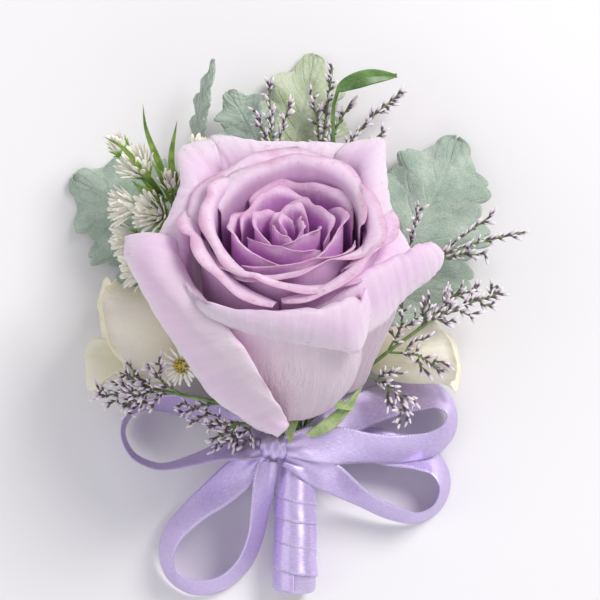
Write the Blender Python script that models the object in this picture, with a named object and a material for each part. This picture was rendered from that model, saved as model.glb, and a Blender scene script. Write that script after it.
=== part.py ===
"""A boutonniere lying on its back: a lilac rose with dusty miller, asters, sea lavender, lisianthus and
ruscus. Their stems run down one handle, which is bound in satin ribbon and tied with a small bow.

Metres, +Z up. It lies on Z = 0 with the handle along Y, and the origin is under the middle of its box.
The design numbers are in millimetres, from a point near the middle of the rose."""

import math

import bpy
import numpy as np

MM = 0.001

# The rose: its axis leans up and back from its foot.
ROSE_FOOT = np.array([-1.25, -13.5, 22.0])
ROSE_LEAN = math.radians(50)
PETAL_THICK = 0.6
PETAL_STEP = 0.95
HIP_RADIUS = 4.4
ROSE_STEM_RADIUS = 2.0

# The handle: its axis, the ring of thin stems inside it, and its ribbon wall.
HANDLE_TOP = np.array([0.0, -31.0, 8.6])
HANDLE_END = np.array([0.0, -68.4, 6.0])
RING_RADIUS = (3.3, 4.1)
STEM_RADIUS = (0.5, 0.6)
WRAP_GAP = 0.3
WRAP_WALL = 0.9
SLOTS = 16

# The ribbon of the bow is 10 mm wide.
RIBBON_THICK = 0.5

LEAF_THICK = 0.9
GAP = 0.3

ACROSS = np.array([1.0, 0.0, 0.0])
FRONT = np.array([0.0, -math.cos(ROSE_LEAN), math.sin(ROSE_LEAN)])
AXIS = np.array([0.0, math.sin(ROSE_LEAN), math.cos(ROSE_LEAN)])
UP = np.array([0.0, 0.0, 1.0])


# ---- curves and small helpers ----


def smooth_step(x, low, high):
    x = np.clip((x - low) / (high - low), 0, 1)
    return x * x * (3 - 2 * x)


def unit(vectors):
    vectors = np.asarray(vectors, float)
    return vectors / np.maximum(np.linalg.norm(vectors, axis=-1, keepdims=True), 1e-9)


def bezier(controls, count):
    """Points along one cubic Bezier."""
    t = np.linspace(0, 1, count)[:, None]
    a, b, c, d = (np.asarray(point, float) for point in controls)
    return a * (1 - t) ** 3 + 3 * b * t * (1 - t) ** 2 + 3 * c * t * t * (1 - t) + d * t**3


def spaced(points, count):
    """The same number of even steps along a chain of points of any width."""
    steps = np.linalg.norm(np.diff(points[:, :3], axis=0), axis=1)
    along = np.concatenate([[0], np.cumsum(steps)])
    wanted = np.linspace(0, along[-1], count)
    return np.stack([np.interp(wanted, along, column) for column in points.T], axis=1)


def curve_through(points, count):
    """Even points along the smooth curve through a few hand-set points. Extra columns are carried along."""
    points = np.asarray(points, float)
    steps = np.linalg.norm(np.diff(points[:, :3], axis=0), axis=1)
    slopes = np.gradient(points, np.concatenate([[0], np.cumsum(steps)]), axis=0)
    fine = []
    for a, b, slope_a, slope_b, step in zip(points, points[1:], slopes, slopes[1:], steps):
        for t in np.linspace(0, 1, 12, endpoint=False):
            fine.append((2 * t**3 - 3 * t**2 + 1) * a + (t**3 - 2 * t**2 + t) * step * slope_a
                        + (3 * t**2 - 2 * t**3) * b + (t**3 - t**2) * step * slope_b)
    fine.append(points[-1])
    return spaced(np.array(fine), count)


def frames_along(path):
    """Two directions square to a path at each point, turned as little as possible on the way."""
    tangents = unit(np.gradient(path, axis=0))
    side = unit(np.cross(tangents[0], UP if abs(tangents[0][2]) < 0.9 else ACROSS))
    sides = []
    for tangent in tangents:
        side = unit(side - tangent * (side @ tangent))
        sides.append(side)
    sides = np.array(sides)
    return sides, np.cross(tangents, sides)


# ---- closed solids, as (points, faces) ----


def facing_out(points, faces):
    """The solid with its faces turned outwards, judged by its signed volume."""
    total = 0.0
    for face in faces:
        a = points[face[0]]
        for b, c in zip(face[1:], face[2:]):
            total += a @ np.cross(points[b], points[c])
    return (points, faces) if total > 0 else (points, [face[::-1] for face in faces])


def ring_skin(rings):
    """A skin over rings of the same number of points, with flat end caps."""
    count, sides = len(rings), len(rings[0])
    faces = []
    for i in range(count - 1):
        for j in range(sides):
            k = (j + 1) % sides
            faces.append([i * sides + j, i * sides + k, (i + 1) * sides + k, (i + 1) * sides + j])
    faces.append(list(range(sides))[::-1])
    faces.append([(count - 1) * sides + j for j in range(sides)])
    return facing_out(np.concatenate(rings), faces)


def tube(path, radii, sides=5):
    """A round rod along a path, with a radius at each point."""
    right, up = frames_along(path)
    radii = np.broadcast_to(radii, len(path))
    angles = np.arange(sides) * 2 * math.pi / sides
    turn_a, turn_b = np.cos(angles)[:, None], np.sin(angles)[:, None]
    rings = [path[i] + radii[i] * (turn_a * right[i] + turn_b * up[i]) for i in range(len(path))]
    return ring_skin(rings)


def lathe(foot, direction, profile, sides):
    """A turned solid: profile is (radius, height) from the bottom rim to the top rim."""
    direction = unit(direction)
    path = np.array([foot + direction * height for _, height in profile])
    right = unit(np.cross(direction, UP if abs(direction[2]) < 0.9 else ACROSS))
    up = np.cross(direction, right)
    angles = np.arange(sides) * 2 * math.pi / sides
    turns = np.cos(angles)[:, None] * right + np.sin(angles)[:, None] * up
    return ring_skin([path[i] + profile[i][0] * turns for i in range(len(profile))])


def sheet(grid, thickness):
    """A surface grid given a thickness, with a flat rim all round."""
    across, along = grid.shape[:2]
    offset = unit(np.cross(np.gradient(grid, axis=0), np.gradient(grid, axis=1))) * thickness / 2
    points = np.concatenate([(grid + offset).reshape(-1, 3), (grid - offset).reshape(-1, 3)])
    under = across * along
    faces = []
    for i in range(across - 1):
        for j in range(along - 1):
            a, b, c, d = i * along + j, (i + 1) * along + j, (i + 1) * along + j + 1, i * along + j + 1
            faces.append([a, b, c, d])
            faces.append([under + d, under + c, under + b, under + a])
    rim = [i * along for i in range(across)]
    rim += [(across - 1) * along + j for j in range(1, along)]
    rim += [i * along + along - 1 for i in range(across - 2, -1, -1)]
    rim += [j for j in range(along - 2, 0, -1)]
    for a, b in zip(rim, rim[1:] + rim[:1]):
        faces.append([b, a, under + a, under + b])
    return facing_out(points, faces)


def closed_sheet(grid, thickness):
    """As sheet, for a surface whose first and last columns are the same line."""
    around, along = grid.shape[0] - 1, grid.shape[1]
    normals = unit(np.cross(np.gradient(grid, axis=0), np.gradient(grid, axis=1)))
    normals[0] = normals[-1] = unit(normals[0] + normals[-1])
    top = (grid + normals * thickness / 2)[:around]
    bottom = (grid - normals * thickness / 2)[:around]
    loops = np.concatenate([top, bottom[:, ::-1]], axis=1)
    count = loops.shape[1]
    faces = []
    for i in range(around):
        k = (i + 1) % around
        for j in range(count):
            m = (j + 1) % count
            faces.append([i * count + j, k * count + j, k * count + m, i * count + m])
    return facing_out(loops.reshape(-1, 3), faces)


# ---- the pieces ----

pieces = {}


def add(name, finish, *solids):
    pieces[name] = (finish, solids)


def slot_point(angle, t):
    """A place in the ring of stems inside the handle: t is 0 at its top and 1 at its end."""
    radius = RING_RADIUS[0] + (RING_RADIUS[1] - RING_RADIUS[0]) * t
    turn = math.radians(angle)
    return HANDLE_TOP + (HANDLE_END - HANDLE_TOP) * t + radius * np.array([math.cos(turn), 0, math.sin(turn)])


def stem_line(slot, route):
    """A stem's fine centre line: straight in the handle, then a smooth curve through its route."""
    angle = slot * 360 / SLOTS
    held = [tuple(slot_point(angle, t)) for t in (0.985, 0.0, -0.1)]
    line = curve_through(held + list(route), 400)
    leaves_at = np.argmin(np.linalg.norm(line - held[-1], axis=1))
    return line[0], line[leaves_at:]


def stem_path(slot, route, points):
    """Few points for a stem: one at its cut end, and the rest even from the handle's mouth on."""
    cut_end, free = stem_line(slot, route)
    return np.vstack([cut_end, spaced(free, points - 1)])


def stem(slot, route, tip_radius=0.45, points=9):
    path = stem_path(slot, route, points)
    run = np.linspace(0, 1, points)
    return tube(path, STEM_RADIUS[1] + (tip_radius - STEM_RADIUS[1]) * run)


# The rose

GUARDS = {
    "guard_petal_left": dict(turn=-60, half=25, rim=(33, 38), belly=(32.5, 14), over=10, slant=(4, 33),
                             roll=4.6, lean=-0.7, flat=1.25, round=0.06),
    "guard_petal_right": dict(turn=60, half=21.5, rim=(31.4, 41.5), belly=(29.5, 20), over=8.5, slant=(3, 0),
                              roll=4.4, lean=0.9, flat=1.7, round=0.04),
    "guard_petal_right_back": dict(turn=124, half=18.5, rim=(30, 46), belly=(25, 22), over=5, slant=(20, 20),
                                   roll=6.0, lean=0.2, flat=1.1, round=0.06),
    "guard_petal_left_back": dict(turn=-124, half=19, rim=(30, 46), belly=(25, 20), over=5, slant=(20, 20),
                                  roll=6.0, lean=-0.1, flat=1.3, round=0.05),
    "guard_petal_back": dict(turn=182, half=18, rim=(26.6, 46), belly=(22, 20), over=3, slant=(20, 20),
                             roll=6.0, lean=0.3, flat=1.0, round=0.06),
    "guard_petal_front": dict(turn=-8, half=27, rim=(27.5, 46), belly=(28, 18), over=8, slant=(4, 8),
                              roll=3.4, lean=0.5, flat=1.1, round=0.08),
}
MIDDLE_PETALS = 6
INNER_PETALS = 8
CORE_PETALS = 2
GOLDEN_TURN = 137.5


def petal(turn, half, rim, belly, order, over, slant, roll, lean=0.0, flat=1.0, round=0.1,
          across=7, along=7, cap=150.0, foot=ROSE_FOOT, front=FRONT, axis=AXIS):
    """A cupped petal whose margin rolls back over two slanted fold lines.

    turn is its place round the flower, half its half width, belly and rim the (radius, height) of its
    cupped side, over how far it runs past the rim, and order its place in the stack from outside."""
    start = (2.2, order * PETAL_STEP)
    reach_out = min(24 - 0.75 * order, belly[0])
    line = bezier([start, (reach_out, order * PETAL_STEP - 2), belly, rim], 96)
    steps = np.linalg.norm(np.diff(line, axis=0), axis=1)
    run = np.concatenate([[0], np.cumsum(steps)])
    length = run[-1]
    leaving = unit(line[-1] - line[-2])

    u, v = np.meshgrid(np.linspace(-1, 1, across), np.linspace(0, 1, along), indexing="ij")
    s = u * half * (0.28 + 0.72 * np.sin(math.pi / 2 * np.clip(v / 0.72, 0, 1)) ** 1.1)
    t = v * (length + over) * (1 - round * np.abs(u - lean) ** 2.6)

    # Past a fold line the petal turns away from the flower on a cylinder of radius roll.
    moved = []
    for sign, degrees in ((-1, slant[0]), (1, slant[1])):
        toward_s, toward_t = sign * math.sin(math.radians(degrees)), math.cos(math.radians(degrees))
        past = np.maximum((s - lean * half) * toward_s + (t - length) * toward_t, 0)
        angle = np.minimum(past / roll, math.radians(cap))
        rest = past - angle * roll
        forward = roll * np.sin(angle) + rest * np.cos(angle) - past
        out = roll * (1 - np.cos(angle)) + rest * np.sin(angle)
        moved.append((s + toward_s * forward, t + toward_t * forward, out))
    blend = smooth_step(s - lean * half, -2.5, 2.5)
    s, t, out = (a * (1 - blend) + b * blend for a, b in zip(*moved))

    beyond = np.maximum(t - length, 0)
    r = np.interp(t, run, line[:, 0]) + beyond * leaving[0]
    h = np.interp(t, run, line[:, 1]) + beyond * leaving[1]
    tangent_r = np.interp(t, run, np.gradient(line[:, 0], run))
    tangent_h = np.interp(t, run, np.gradient(line[:, 1], run))
    size = np.hypot(tangent_r, tangent_h)
    out_r, out_h = tangent_h / size, -tangent_r / size
    wide = np.maximum(r * flat, 2)
    swing = s / wide
    centre, reach = r - wide, wide + out * out_r
    place = math.radians(turn)
    x = centre * math.sin(place) + reach * np.sin(place + swing)
    y = centre * math.cos(place) + reach * np.cos(place + swing)
    height = h + out * out_h
    across_axis = np.cross(axis, front)
    return foot + x[..., None] * across_axis + y[..., None] * front + height[..., None] * axis


def add_rose():
    order = 0
    for name, spec in GUARDS.items():
        grid = petal(order=order, across=9, along=9, **spec)
        add(name, "rose_outer", sheet(grid, PETAL_THICK))
        order += 1
    for i in range(MIDDLE_PETALS):
        radius = 24.2 - 1.1 * i
        grid = petal(turn=-74 + GOLDEN_TURN * i, half=18, rim=(radius - 0.5, 47 + 0.9 * i), belly=(radius, 18),
                     order=order, over=1.5, slant=(12, 12), roll=4.0, cap=20)
        add(f"middle_petal_{i + 1}", "rose_middle", sheet(grid, PETAL_THICK))
        order += 1
    for i in range(INNER_PETALS + CORE_PETALS):
        radius = 16.3 - 1.24 * i
        grid = petal(turn=20 + GOLDEN_TURN * i, half=max(radius * 1.15, 3), rim=(radius * 0.97, 52 + 0.35 * i),
                     belly=(radius, 24), order=order, over=0.5, slant=(10, 10), roll=4.0, across=6, along=6,
                     cap=20)
        name = f"inner_petal_{i + 1}" if i < INNER_PETALS else f"core_petal_{i + 1 - INNER_PETALS}"
        add(name, "rose_inner", sheet(grid, PETAL_THICK))
        order += 1


def add_rose_stem():
    """The stem and the swollen hip on top of it are one piece."""
    hip_foot = ROSE_FOOT - 9 * AXIS
    above_handle = HANDLE_TOP + np.array([-0.2, 4.6, 0.9])
    route = [HANDLE_END + 0.6 * np.array([0, 1, 0]), (HANDLE_TOP + HANDLE_END) / 2, HANDLE_TOP, above_handle,
             hip_foot, hip_foot + 4 * AXIS, ROSE_FOOT - 0.8 * AXIS]
    path = curve_through(route, 16)
    to_top = np.linalg.norm(path - path[-1], axis=1)
    swell = np.interp(to_top, [0, 2.5, 6, 10], [2.6, HIP_RADIUS, 3.4, ROSE_STEM_RADIUS])
    add("rose_stem", "stem_green", tube(path, swell, sides=8))


def add_calyx():
    """One cup of five long sepals, folded down below the rose."""
    around, along = 31, 7
    turns = np.linspace(0, 2 * math.pi, around)
    grid = np.empty((around, along, 3))
    for i, turn in enumerate(turns):
        lobe = (0.5 + 0.5 * math.cos(5 * turn)) ** 1.5
        length = 4.0 + 10.0 * lobe
        for j, v in enumerate(np.linspace(0, 1, along)):
            r = 5.0 + length * v * 0.8
            h = -4.5 + 2.2 * v - 3.2 * lobe * v * v
            grid[i, j] = ROSE_FOOT + r * (math.sin(turn) * ACROSS + math.cos(turn) * FRONT) + h * AXIS
    add("calyx", "leaf_green", closed_sheet(grid, 0.7))


# Leaves

LEAVES = {
    "miller_leaf_right": dict(
        slot=15, way=[(6, -20, 5.2), (10.5, -10, 4.6)],
        rib=[(16, 0, 6), (24, 12, 8), (32, 26, 9.5), (38, 38, 7), (41.5, 47.5, 3)],
        half=20, lobes=4.5, depth=0.2),
    "miller_leaf_top": dict(
        slot=12, way=[(0, -20, 3.6), (-0.5, -6, 2.2), (-1, 12, 2.2)],
        rib=[(-2, 34, 5), (0, 46, 7), (2.5, 57, 6), (5, 69, 1.5)], half=13, lobes=3.5, depth=0.3),
    "miller_leaf_top_left": dict(
        slot=10, way=[(-3.2, -21, 3.9), (-4, -6, 2.6), (-6, 14, 3.5), (-7, 30, 9)],
        rib=[(-8, 40, 13), (-12, 50, 14), (-17, 59, 10)], half=9, lobes=3.5, depth=0.3),
    "miller_leaf_edge": dict(
        slot=9, way=[(-5, -21, 4.4), (-8, -4, 3), (-14, 14, 5), (-20, 28, 8)],
        rib=[(-24.5, 41, 10), (-24, 55, 12), (-20.5, 67, 13)], half=5, lobes=4.5, depth=0.35, roll=60),
    "miller_leaf_left": dict(
        slot=8, way=[(-6.5, -21, 5.6), (-11, -8, 4.5)],
        rib=[(-19, 12, 4.5), (-32, 21, 6), (-45, 30, 5), (-57, 37.5, 1.2)], half=18, lobes=4.5, depth=0.25),
    "ruscus_leaf": dict(
        slot=14, way=[(3.6, -22, 4.6), (6, -6, 3), (9, 18, 5), (10.5, 38, 13.5), (9.6, 51, 17.5)],
        rib=[(10.6, 58.4, 19), (17.5, 61.8, 19.5), (25.5, 62.6, 17)], half=2.1, lobes=0, depth=0,
        finish="leaf_green"),
}
PETIOLE_HALF = 0.42


def blade(slot, way, rib, half, lobes, depth, roll=0, finish="miller_felt", stalk_points=9, blade_points=17):
    """A leaf and its stalk as one surface: a narrow strip in the handle that widens into the lobed blade.

    way leads the stalk from the handle to the blade, and rib is the blade's middle line. half is its half
    width, lobes and depth cut its margin, and roll turns it about its rib in degrees."""
    cut_end, line = stem_line(slot, way + rib)
    start = np.argmin(np.linalg.norm(line - np.array(rib[0]), axis=1))
    stalk = spaced(line[:start + 1], stalk_points - 1)[:-1]
    path = np.vstack([cut_end, stalk, spaced(line[start:], blade_points)])
    q = np.concatenate([np.zeros(stalk_points - 1), np.linspace(0, 1, blade_points)])
    outline = np.sin(math.pi * np.clip(q, 0, 1) ** 0.75) ** 0.7
    lobed = 1 - depth * (0.5 + 0.5 * np.cos(2 * math.pi * lobes * q)) if lobes else np.ones_like(q)
    width = np.maximum(half * outline * lobed, PETIOLE_HALF)
    tangents = unit(np.gradient(path, axis=0))
    side = unit(np.cross(tangents, UP))
    normal = np.cross(side, tangents)
    turn = math.radians(roll) * smooth_step(q, 0, 0.2)[:, None]
    side = side * np.cos(turn) + normal * np.sin(turn)
    normal = np.cross(side, tangents)
    u = np.linspace(-1, 1, 5)[:, None, None]
    sag = -0.10 * width[None, :, None] * np.abs(u) ** 2
    forward = 0.25 * width[None, :, None] * np.abs(u) * smooth_step(q, 0, 0.3)[None, :, None]
    grid = path[None] + u * side[None] * width[None, :, None] + sag * normal[None] + forward * tangents[None]
    grid[..., 2] = np.maximum(grid[..., 2], LEAF_THICK / 2)
    return finish, sheet(grid, LEAF_THICK)


def add_leaves():
    for name, spec in LEAVES.items():
        add(name, *blade(**spec))


# Asters: a branched stem with its heads, and one open daisy on a stem of its own.

BUD = [(0.6, 0), (1.3, 0.8), (2.0, 3.0), (2.2, 5.5), (1.5, 8.0)]
BRUSH = [(0.6, 0), (1.5, 0.8), (2.3, 2.6), (3.2, 5.0), (4.6, 8.2), (2.6, 8.8)]
OPEN = [(0.6, 0), (1.4, 0.8), (2.2, 1.8), (4.4, 3.2), (4.2, 3.8), (1.8, 4.2)]
ASTER_STEM = [(-7, -21, 8), (-12, -8, 8), (-18, 6, 10.5), (-27, 19, 15), (-34, 30, 16.5)]
ASTER_HEADS = [
    ((-42.0, 42.0, 15), (-0.5, 0.6, 0.5), BUD, 0.95),
    ((-37.2, 37.0, 18), (-0.45, 0.6, 0.6), BRUSH, 0.97),
    ((-38.5, 29.2, 16.5), (-0.9, 0.1, 0.35), BRUSH, 0.85),
    ((-33.0, 27.0, 19), (-0.55, 0.15, 0.8), BRUSH, 0.8),
    ((-25.5, 40.5, 15), (0.2, 0.8, 0.5), BUD, 0.78),
    ((-31.0, 33.5, 19), (-0.1, 0.5, 0.85), BUD, 0.9),
    ((-38.0, 21.3, 12.5), (-0.9, -0.1, 0.35), BRUSH, 0.7),
    ((-35.5, 14.8, 17.5), (-0.8, -0.15, 0.5), BRUSH, 0.6),
]
DAISY_STEM = [(-3.8, -26.0, 13.0), (-8, -21.5, 15), (-14, -17, 18), (-22, -12.5, 20)]
DAISY_HEAD = ((-27.5, -10.5, 21.5), (-0.35, 0.0, 0.93), OPEN)


def add_asters():
    main = stem_path(7, ASTER_STEM, 11)
    solids = [tube(main, 0.5)]
    for foot, direction, _, start in ASTER_HEADS:
        foot, direction = np.array(foot), unit(direction)
        root = spaced(main[1:], 101)[int(start * 100)]
        route = curve_through([root, (root + foot) / 2 - direction, foot - direction * GAP], 5)
        solids.append(tube(route, 0.4))
    add("aster_stem", "stem_green", *solids)
    for i, (foot, direction, profile, _) in enumerate(ASTER_HEADS):
        add(f"aster_head_{i + 1}", "aster_white", lathe(np.array(foot), direction, profile, 8))
    foot, direction, profile = DAISY_HEAD
    end = tuple(np.array(foot) - unit(direction) * GAP)
    add("daisy_stem", "stem_green", stem(5, DAISY_STEM + [end], 0.4))
    add("daisy_head", "aster_white", lathe(np.array(foot), direction, profile, 10))


# Lisianthus: a cream flower on each side, lying under the rose. A petal is (turn, radius, height, half width),
# and squash presses the flower flat.

LISIANTHUS = {
    "left": dict(
        slot=6, way=[(-8, -22.5, 11.6), (-16, -12, 11.5)], foot=(-23, -5.5, 10.5), axis=(-0.96, 0.1, 0.18),
        petals=[(20, 12.5, 26, 15), (150, 11.4, 25, 14), (-100, 10.3, 27, 14)], squash=0.68),
    "right": dict(
        slot=1, way=[(8, -21.5, 8.6), (14, -14, 10)], foot=(20, -8, 11), axis=(0.95, 0.02, 0.2),
        petals=[(0, 7.8, 20, 10), (160, 6.7, 19, 10)], squash=0.8),
}


def add_lisianthus():
    for side, spec in LISIANTHUS.items():
        foot, axis = np.array(spec["foot"], float), unit(spec["axis"])
        front = unit(UP - axis * (UP @ axis))
        add(f"lisianthus_stem_{side}", "stem_green",
            stem(spec["slot"], spec["way"] + [tuple(foot - axis * 0.7)], 1.6))
        for i, (turn, radius, height, half) in enumerate(spec["petals"]):
            local = petal(turn=turn, half=half, rim=(radius, height), belly=(radius, 6), order=i, over=1,
                          slant=(12, 12), roll=4, cap=20, foot=0 * foot, front=front, axis=axis)
            grid = foot + local - (1 - spec["squash"]) * (local @ front)[..., None] * front
            add(f"lisianthus_petal_{side}_{i + 1}", "lisianthus_cream", sheet(grid, PETAL_THICK))


# Sea lavender: thin stems with spikes of small florets. Each spike is one spindle here, given by how far along
# the stem it starts and where its tip is.

SPRAYS = {
    "sea_lavender_left": dict(
        slot=4, route=[(-3.6, -25.7, 15.4), (-13, -21.5, 18), (-25, -18.5, 21.5), (-37, -16.5, 22),
                       (-49, -18.3, 17)],
        spikes=[(0.6, (-36, -10.5, 26)), (0.68, (-43, -12.5, 24)), (0.7, (-43.5, -20.5, 17)),
                (0.4, (-28, -22.5, 18.5))]),
    "sea_lavender_left_low": dict(
        slot=3, route=[(0.4, -25.9, 14.0), (-3.6, -25.4, 18), (-9, -25, 19.3), (-15, -25.5, 19.5),
                       (-21, -29.5, 17)],
        spikes=[(0.6, (-21, -25, 19.5)), (0.5, (-15, -30, 18.6))]),
    "sea_lavender_right_high": dict(
        slot=0, route=[(7, -21.5, 7.0), (14, -3, 8.2), (25, 9, 13.5), (40, 18.5, 17), (57, 23, 15)],
        spikes=[(0.5, (31, 29, 18)), (0.6, (49.5, 27.3, 17)), (0.68, (48, 17.5, 15.5))]),
    "sea_lavender_right_low": dict(
        slot=2, route=[(5.2, -24.5, 10.8), (10, -19.5, 11.8), (16, -13, 19), (26, -5, 23.5), (38, 3, 23),
                       (51, 7.5, 18)],
        spikes=[(0.36, (28.5, -23, 19.5)), (0.5, (36, -11.5, 23)), (0.62, (41.5, 9, 23)), (0.5, (27, 5, 26))]),
    "sea_lavender_top_left": dict(
        slot=11, route=[(-1.7, -20, 3.7), (-2.3, -6, 2.5), (-3.4, 14, 3.2), (-4.5, 32, 11), (-6, 44, 17),
                        (-6.5, 60, 17.5)],
        spikes=[(0.72, (-1.5, 55, 18)), (0.76, (-9.5, 53, 19))]),
    "sea_lavender_top_right": dict(
        slot=13, route=[(1.7, -20, 3.9), (2.4, -6, 2.7), (3.6, 14, 3.2), (5.5, 34, 10), (9.5, 65, 11.5)],
        spikes=[(0.68, (14, 56, 10.5)), (0.62, (26.5, 58.5, 9)), (0.56, (22, 48.5, 12)),
                (0.74, (4, 58, 13.5))]),
}


def add_sea_lavender():
    for name, spec in SPRAYS.items():
        main = stem_path(spec["slot"], spec["route"], 13)
        run = np.linspace(0, 1, 13)
        solids = [tube(main, np.interp(run, [0, 0.72, 0.8, 0.93, 1], [0.55, 0.45, 1.1, 1.2, 0.5]))]
        fine = spaced(main[1:], 201)
        for start, tip in spec["spikes"]:
            at = int(start * 200)
            root, tip = fine[at], np.array(tip, float)
            lift = np.linalg.norm(tip - root) * 0.15
            middle = (root + tip) / 2 + lift * unit(fine[at + 1] - fine[at - 1])
            path = curve_through([root, middle, tip], 6)
            solids.append(tube(path, [0.35, 0.4, 1.0, 1.3, 1.2, 0.5]))
        add(name, "sea_lavender", *solids)


# Ribbon: the handle's binding, the knot, and the four loops of the bow.


def add_wrap():
    """The binding is a tube whose lower rim turns in a little round the cut ends of the stems."""
    stations = [0.0, 0.06, 0.35, 0.65, 0.93, 0.985, 1.0]
    outer, inner = [], []
    for t in stations:
        bore = RING_RADIUS[0] + (RING_RADIUS[1] - RING_RADIUS[0]) * t + STEM_RADIUS[1] + WRAP_GAP
        drawn_in = 0.35 * smooth_step(t, 0.94, 1.0)
        outer.append((bore + WRAP_WALL - drawn_in, t))
        inner.append((bore, t))
    direction = unit(HANDLE_END - HANDLE_TOP)
    right, up = ACROSS, np.cross(ACROSS, direction)
    angles = np.arange(20) * 2 * math.pi / 20
    turns = np.cos(angles)[:, None] * right + np.sin(angles)[:, None] * up
    grid = []
    for radius, t in outer + inner[::-1]:
        grid.append(HANDLE_TOP + (HANDLE_END - HANDLE_TOP) * t + radius * turns)
    grid = np.array(grid)
    count, sides = grid.shape[:2]
    faces = []
    for i in range(count):
        k = (i + 1) % count
        for j in range(sides):
            m = (j + 1) % sides
            faces.append([i * sides + j, i * sides + m, k * sides + m, k * sides + j])
    add("handle_wrap", "ribbon_satin", facing_out(grid.reshape(-1, 3), faces))


# Each point of a loop: x, y, z, how far the ribbon is turned on edge in degrees, and its width there.
KNOT = np.array([-5.5, -30.8, 17.0])
LOOPS = {
    "left_upper": [
        (-8.6, -31.2, 18.2, 20, 5), (-12, -31.3, 18, 45, 8), (-18, -32, 15.5, 64, 10),
        (-26, -34.5, 12.5, 74, 10), (-35.5, -36, 10, 84, 10), (-41.5, -33, 8.5, 88, 10),
        (-43.8, -27.3, 7.5, 88, 10), (-41.5, -22.4, 6.6, 80, 10), (-34, -20.6, 6, 66, 10),
        (-26, -21.6, 6, 50, 10), (-19, -24, 7.5, 42, 9), (-13.5, -26.8, 11, 30, 7), (-9, -29.6, 15, 20, 5)],
    "left_lower": [
        (-8.4, -32.6, 16.6, 10, 5), (-12.5, -36.3, 15.2, 20, 8), (-18.5, -41.7, 13.4, 38, 10),
        (-26, -47.8, 11, 52, 10), (-31.4, -53.8, 8.8, 60, 10), (-33, -59.2, 7.4, 68, 10), (-31.4, -64.6, 6.4, 72, 10),
        (-26, -67.4, 6, 64, 10), (-19.6, -66.8, 6.2, 66, 10), (-13.6, -62.2, 7.5, 68, 10),
        (-10.2, -55, 9.8, 68, 10), (-8.8, -47.5, 12.6, 62, 10), (-7.7, -40.5, 15, 45, 8),
        (-6.6, -34.6, 16.2, 15, 5)],
    "right_upper": [
        (-2.4, -30.9, 18, 0, 5), (3, -30.4, 17.4, 0, 8), (10, -30.7, 16.8, 18, 10), (19, -31.5, 14.6, 40, 10),
        (28.5, -31.8, 12.2, 46, 10), (35.5, -30.3, 10.6, 55, 10), (39.3, -26.8, 9.4, 68, 10),
        (40, -22.6, 8.8, 75, 10), (37, -19, 8.4, 60, 10), (31, -17.9, 8.4, 36, 10), (24, -19.2, 9, 28, 10),
        (16, -22.4, 10.8, 16, 9.5), (8.5, -26.4, 13, 5, 8), (2, -29.2, 15.2, 5, 5), (-2.4, -29.9, 16.4, 0, 5)],
    "right_lower": [
        (-2.5, -34, 14.9, 0, 4), (3, -36, 14.4, 8, 7), (9, -39.2, 11.6, 34, 9.5), (16.1, -44, 9.4, 58, 10),
        (25, -48.6, 7, 68, 10), (31.2, -49.8, 6, 74, 10), (36.4, -47, 5.6, 76, 10), (38.4, -41.4, 5.6, 72, 10),
        (36.4, -36.6, 5.6, 62, 10), (31.5, -33.6, 5.8, 45, 10), (24, -31.8, 6.4, 30, 10),
        (15, -30.4, 7.6, 22, 9), (8.5, -29.6, 9.6, 20, 7)],
}


def add_bow():
    knot_profile = [(1.6, 0), (2.6, 0.9), (2.9, 2.6), (2.5, 4.4), (1.4, 5.2)]
    add("bow_knot", "ribbon_satin", lathe(KNOT - 2.6 * UP, UP, knot_profile, sides=10))
    for name, points in LOOPS.items():
        line = curve_through(points, 26)
        path, tilt, width = line[:, :3], np.radians(line[:, 3])[:, None], line[:, 4:5]
        flat_tangent = np.gradient(path, axis=0) * np.array([1, 1, 0])
        side = unit(np.cross(UP, flat_tangent))
        lean = side * np.cos(tilt) + UP * np.sin(tilt)
        grid = np.stack([path - lean * width / 2, path + lean * width / 2])
        add(f"bow_loop_{name}", "ribbon_satin", sheet(grid, RIBBON_THICK))


FINISHES = {
    "rose_outer": ((0.76, 0.62, 0.80), 0.6), "rose_middle": ((0.66, 0.47, 0.72), 0.6),
    "rose_inner": ((0.52, 0.29, 0.58), 0.6), "stem_green": ((0.22, 0.34, 0.12), 0.6),
    "leaf_green": ((0.12, 0.24, 0.07), 0.5), "miller_felt": ((0.50, 0.62, 0.55), 0.9),
    "aster_white": ((0.86, 0.87, 0.80), 0.7), "lisianthus_cream": ((0.84, 0.82, 0.70), 0.6),
    "sea_lavender": ((0.42, 0.36, 0.44), 0.7), "ribbon_satin": ((0.50, 0.40, 0.74), 0.35),
}


def finish_material(name):
    colour, roughness = FINISHES[name]
    material = bpy.data.materials.new(name)
    material.use_nodes = True
    shader = material.node_tree.nodes["Principled BSDF"]
    shader.inputs["Base Color"].default_value = (*colour, 1.0)
    shader.inputs["Roughness"].default_value = roughness
    shader.inputs["Metallic"].default_value = 0.0
    return material


def mesh_object(name, points, faces, material):
    mesh = bpy.data.meshes.new(name)
    mesh.from_pydata((points * MM).tolist(), [], faces)
    mesh.materials.append(material)
    body = bpy.data.objects.new(name, mesh)
    bpy.context.scene.collection.objects.link(body)
    return body


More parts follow.
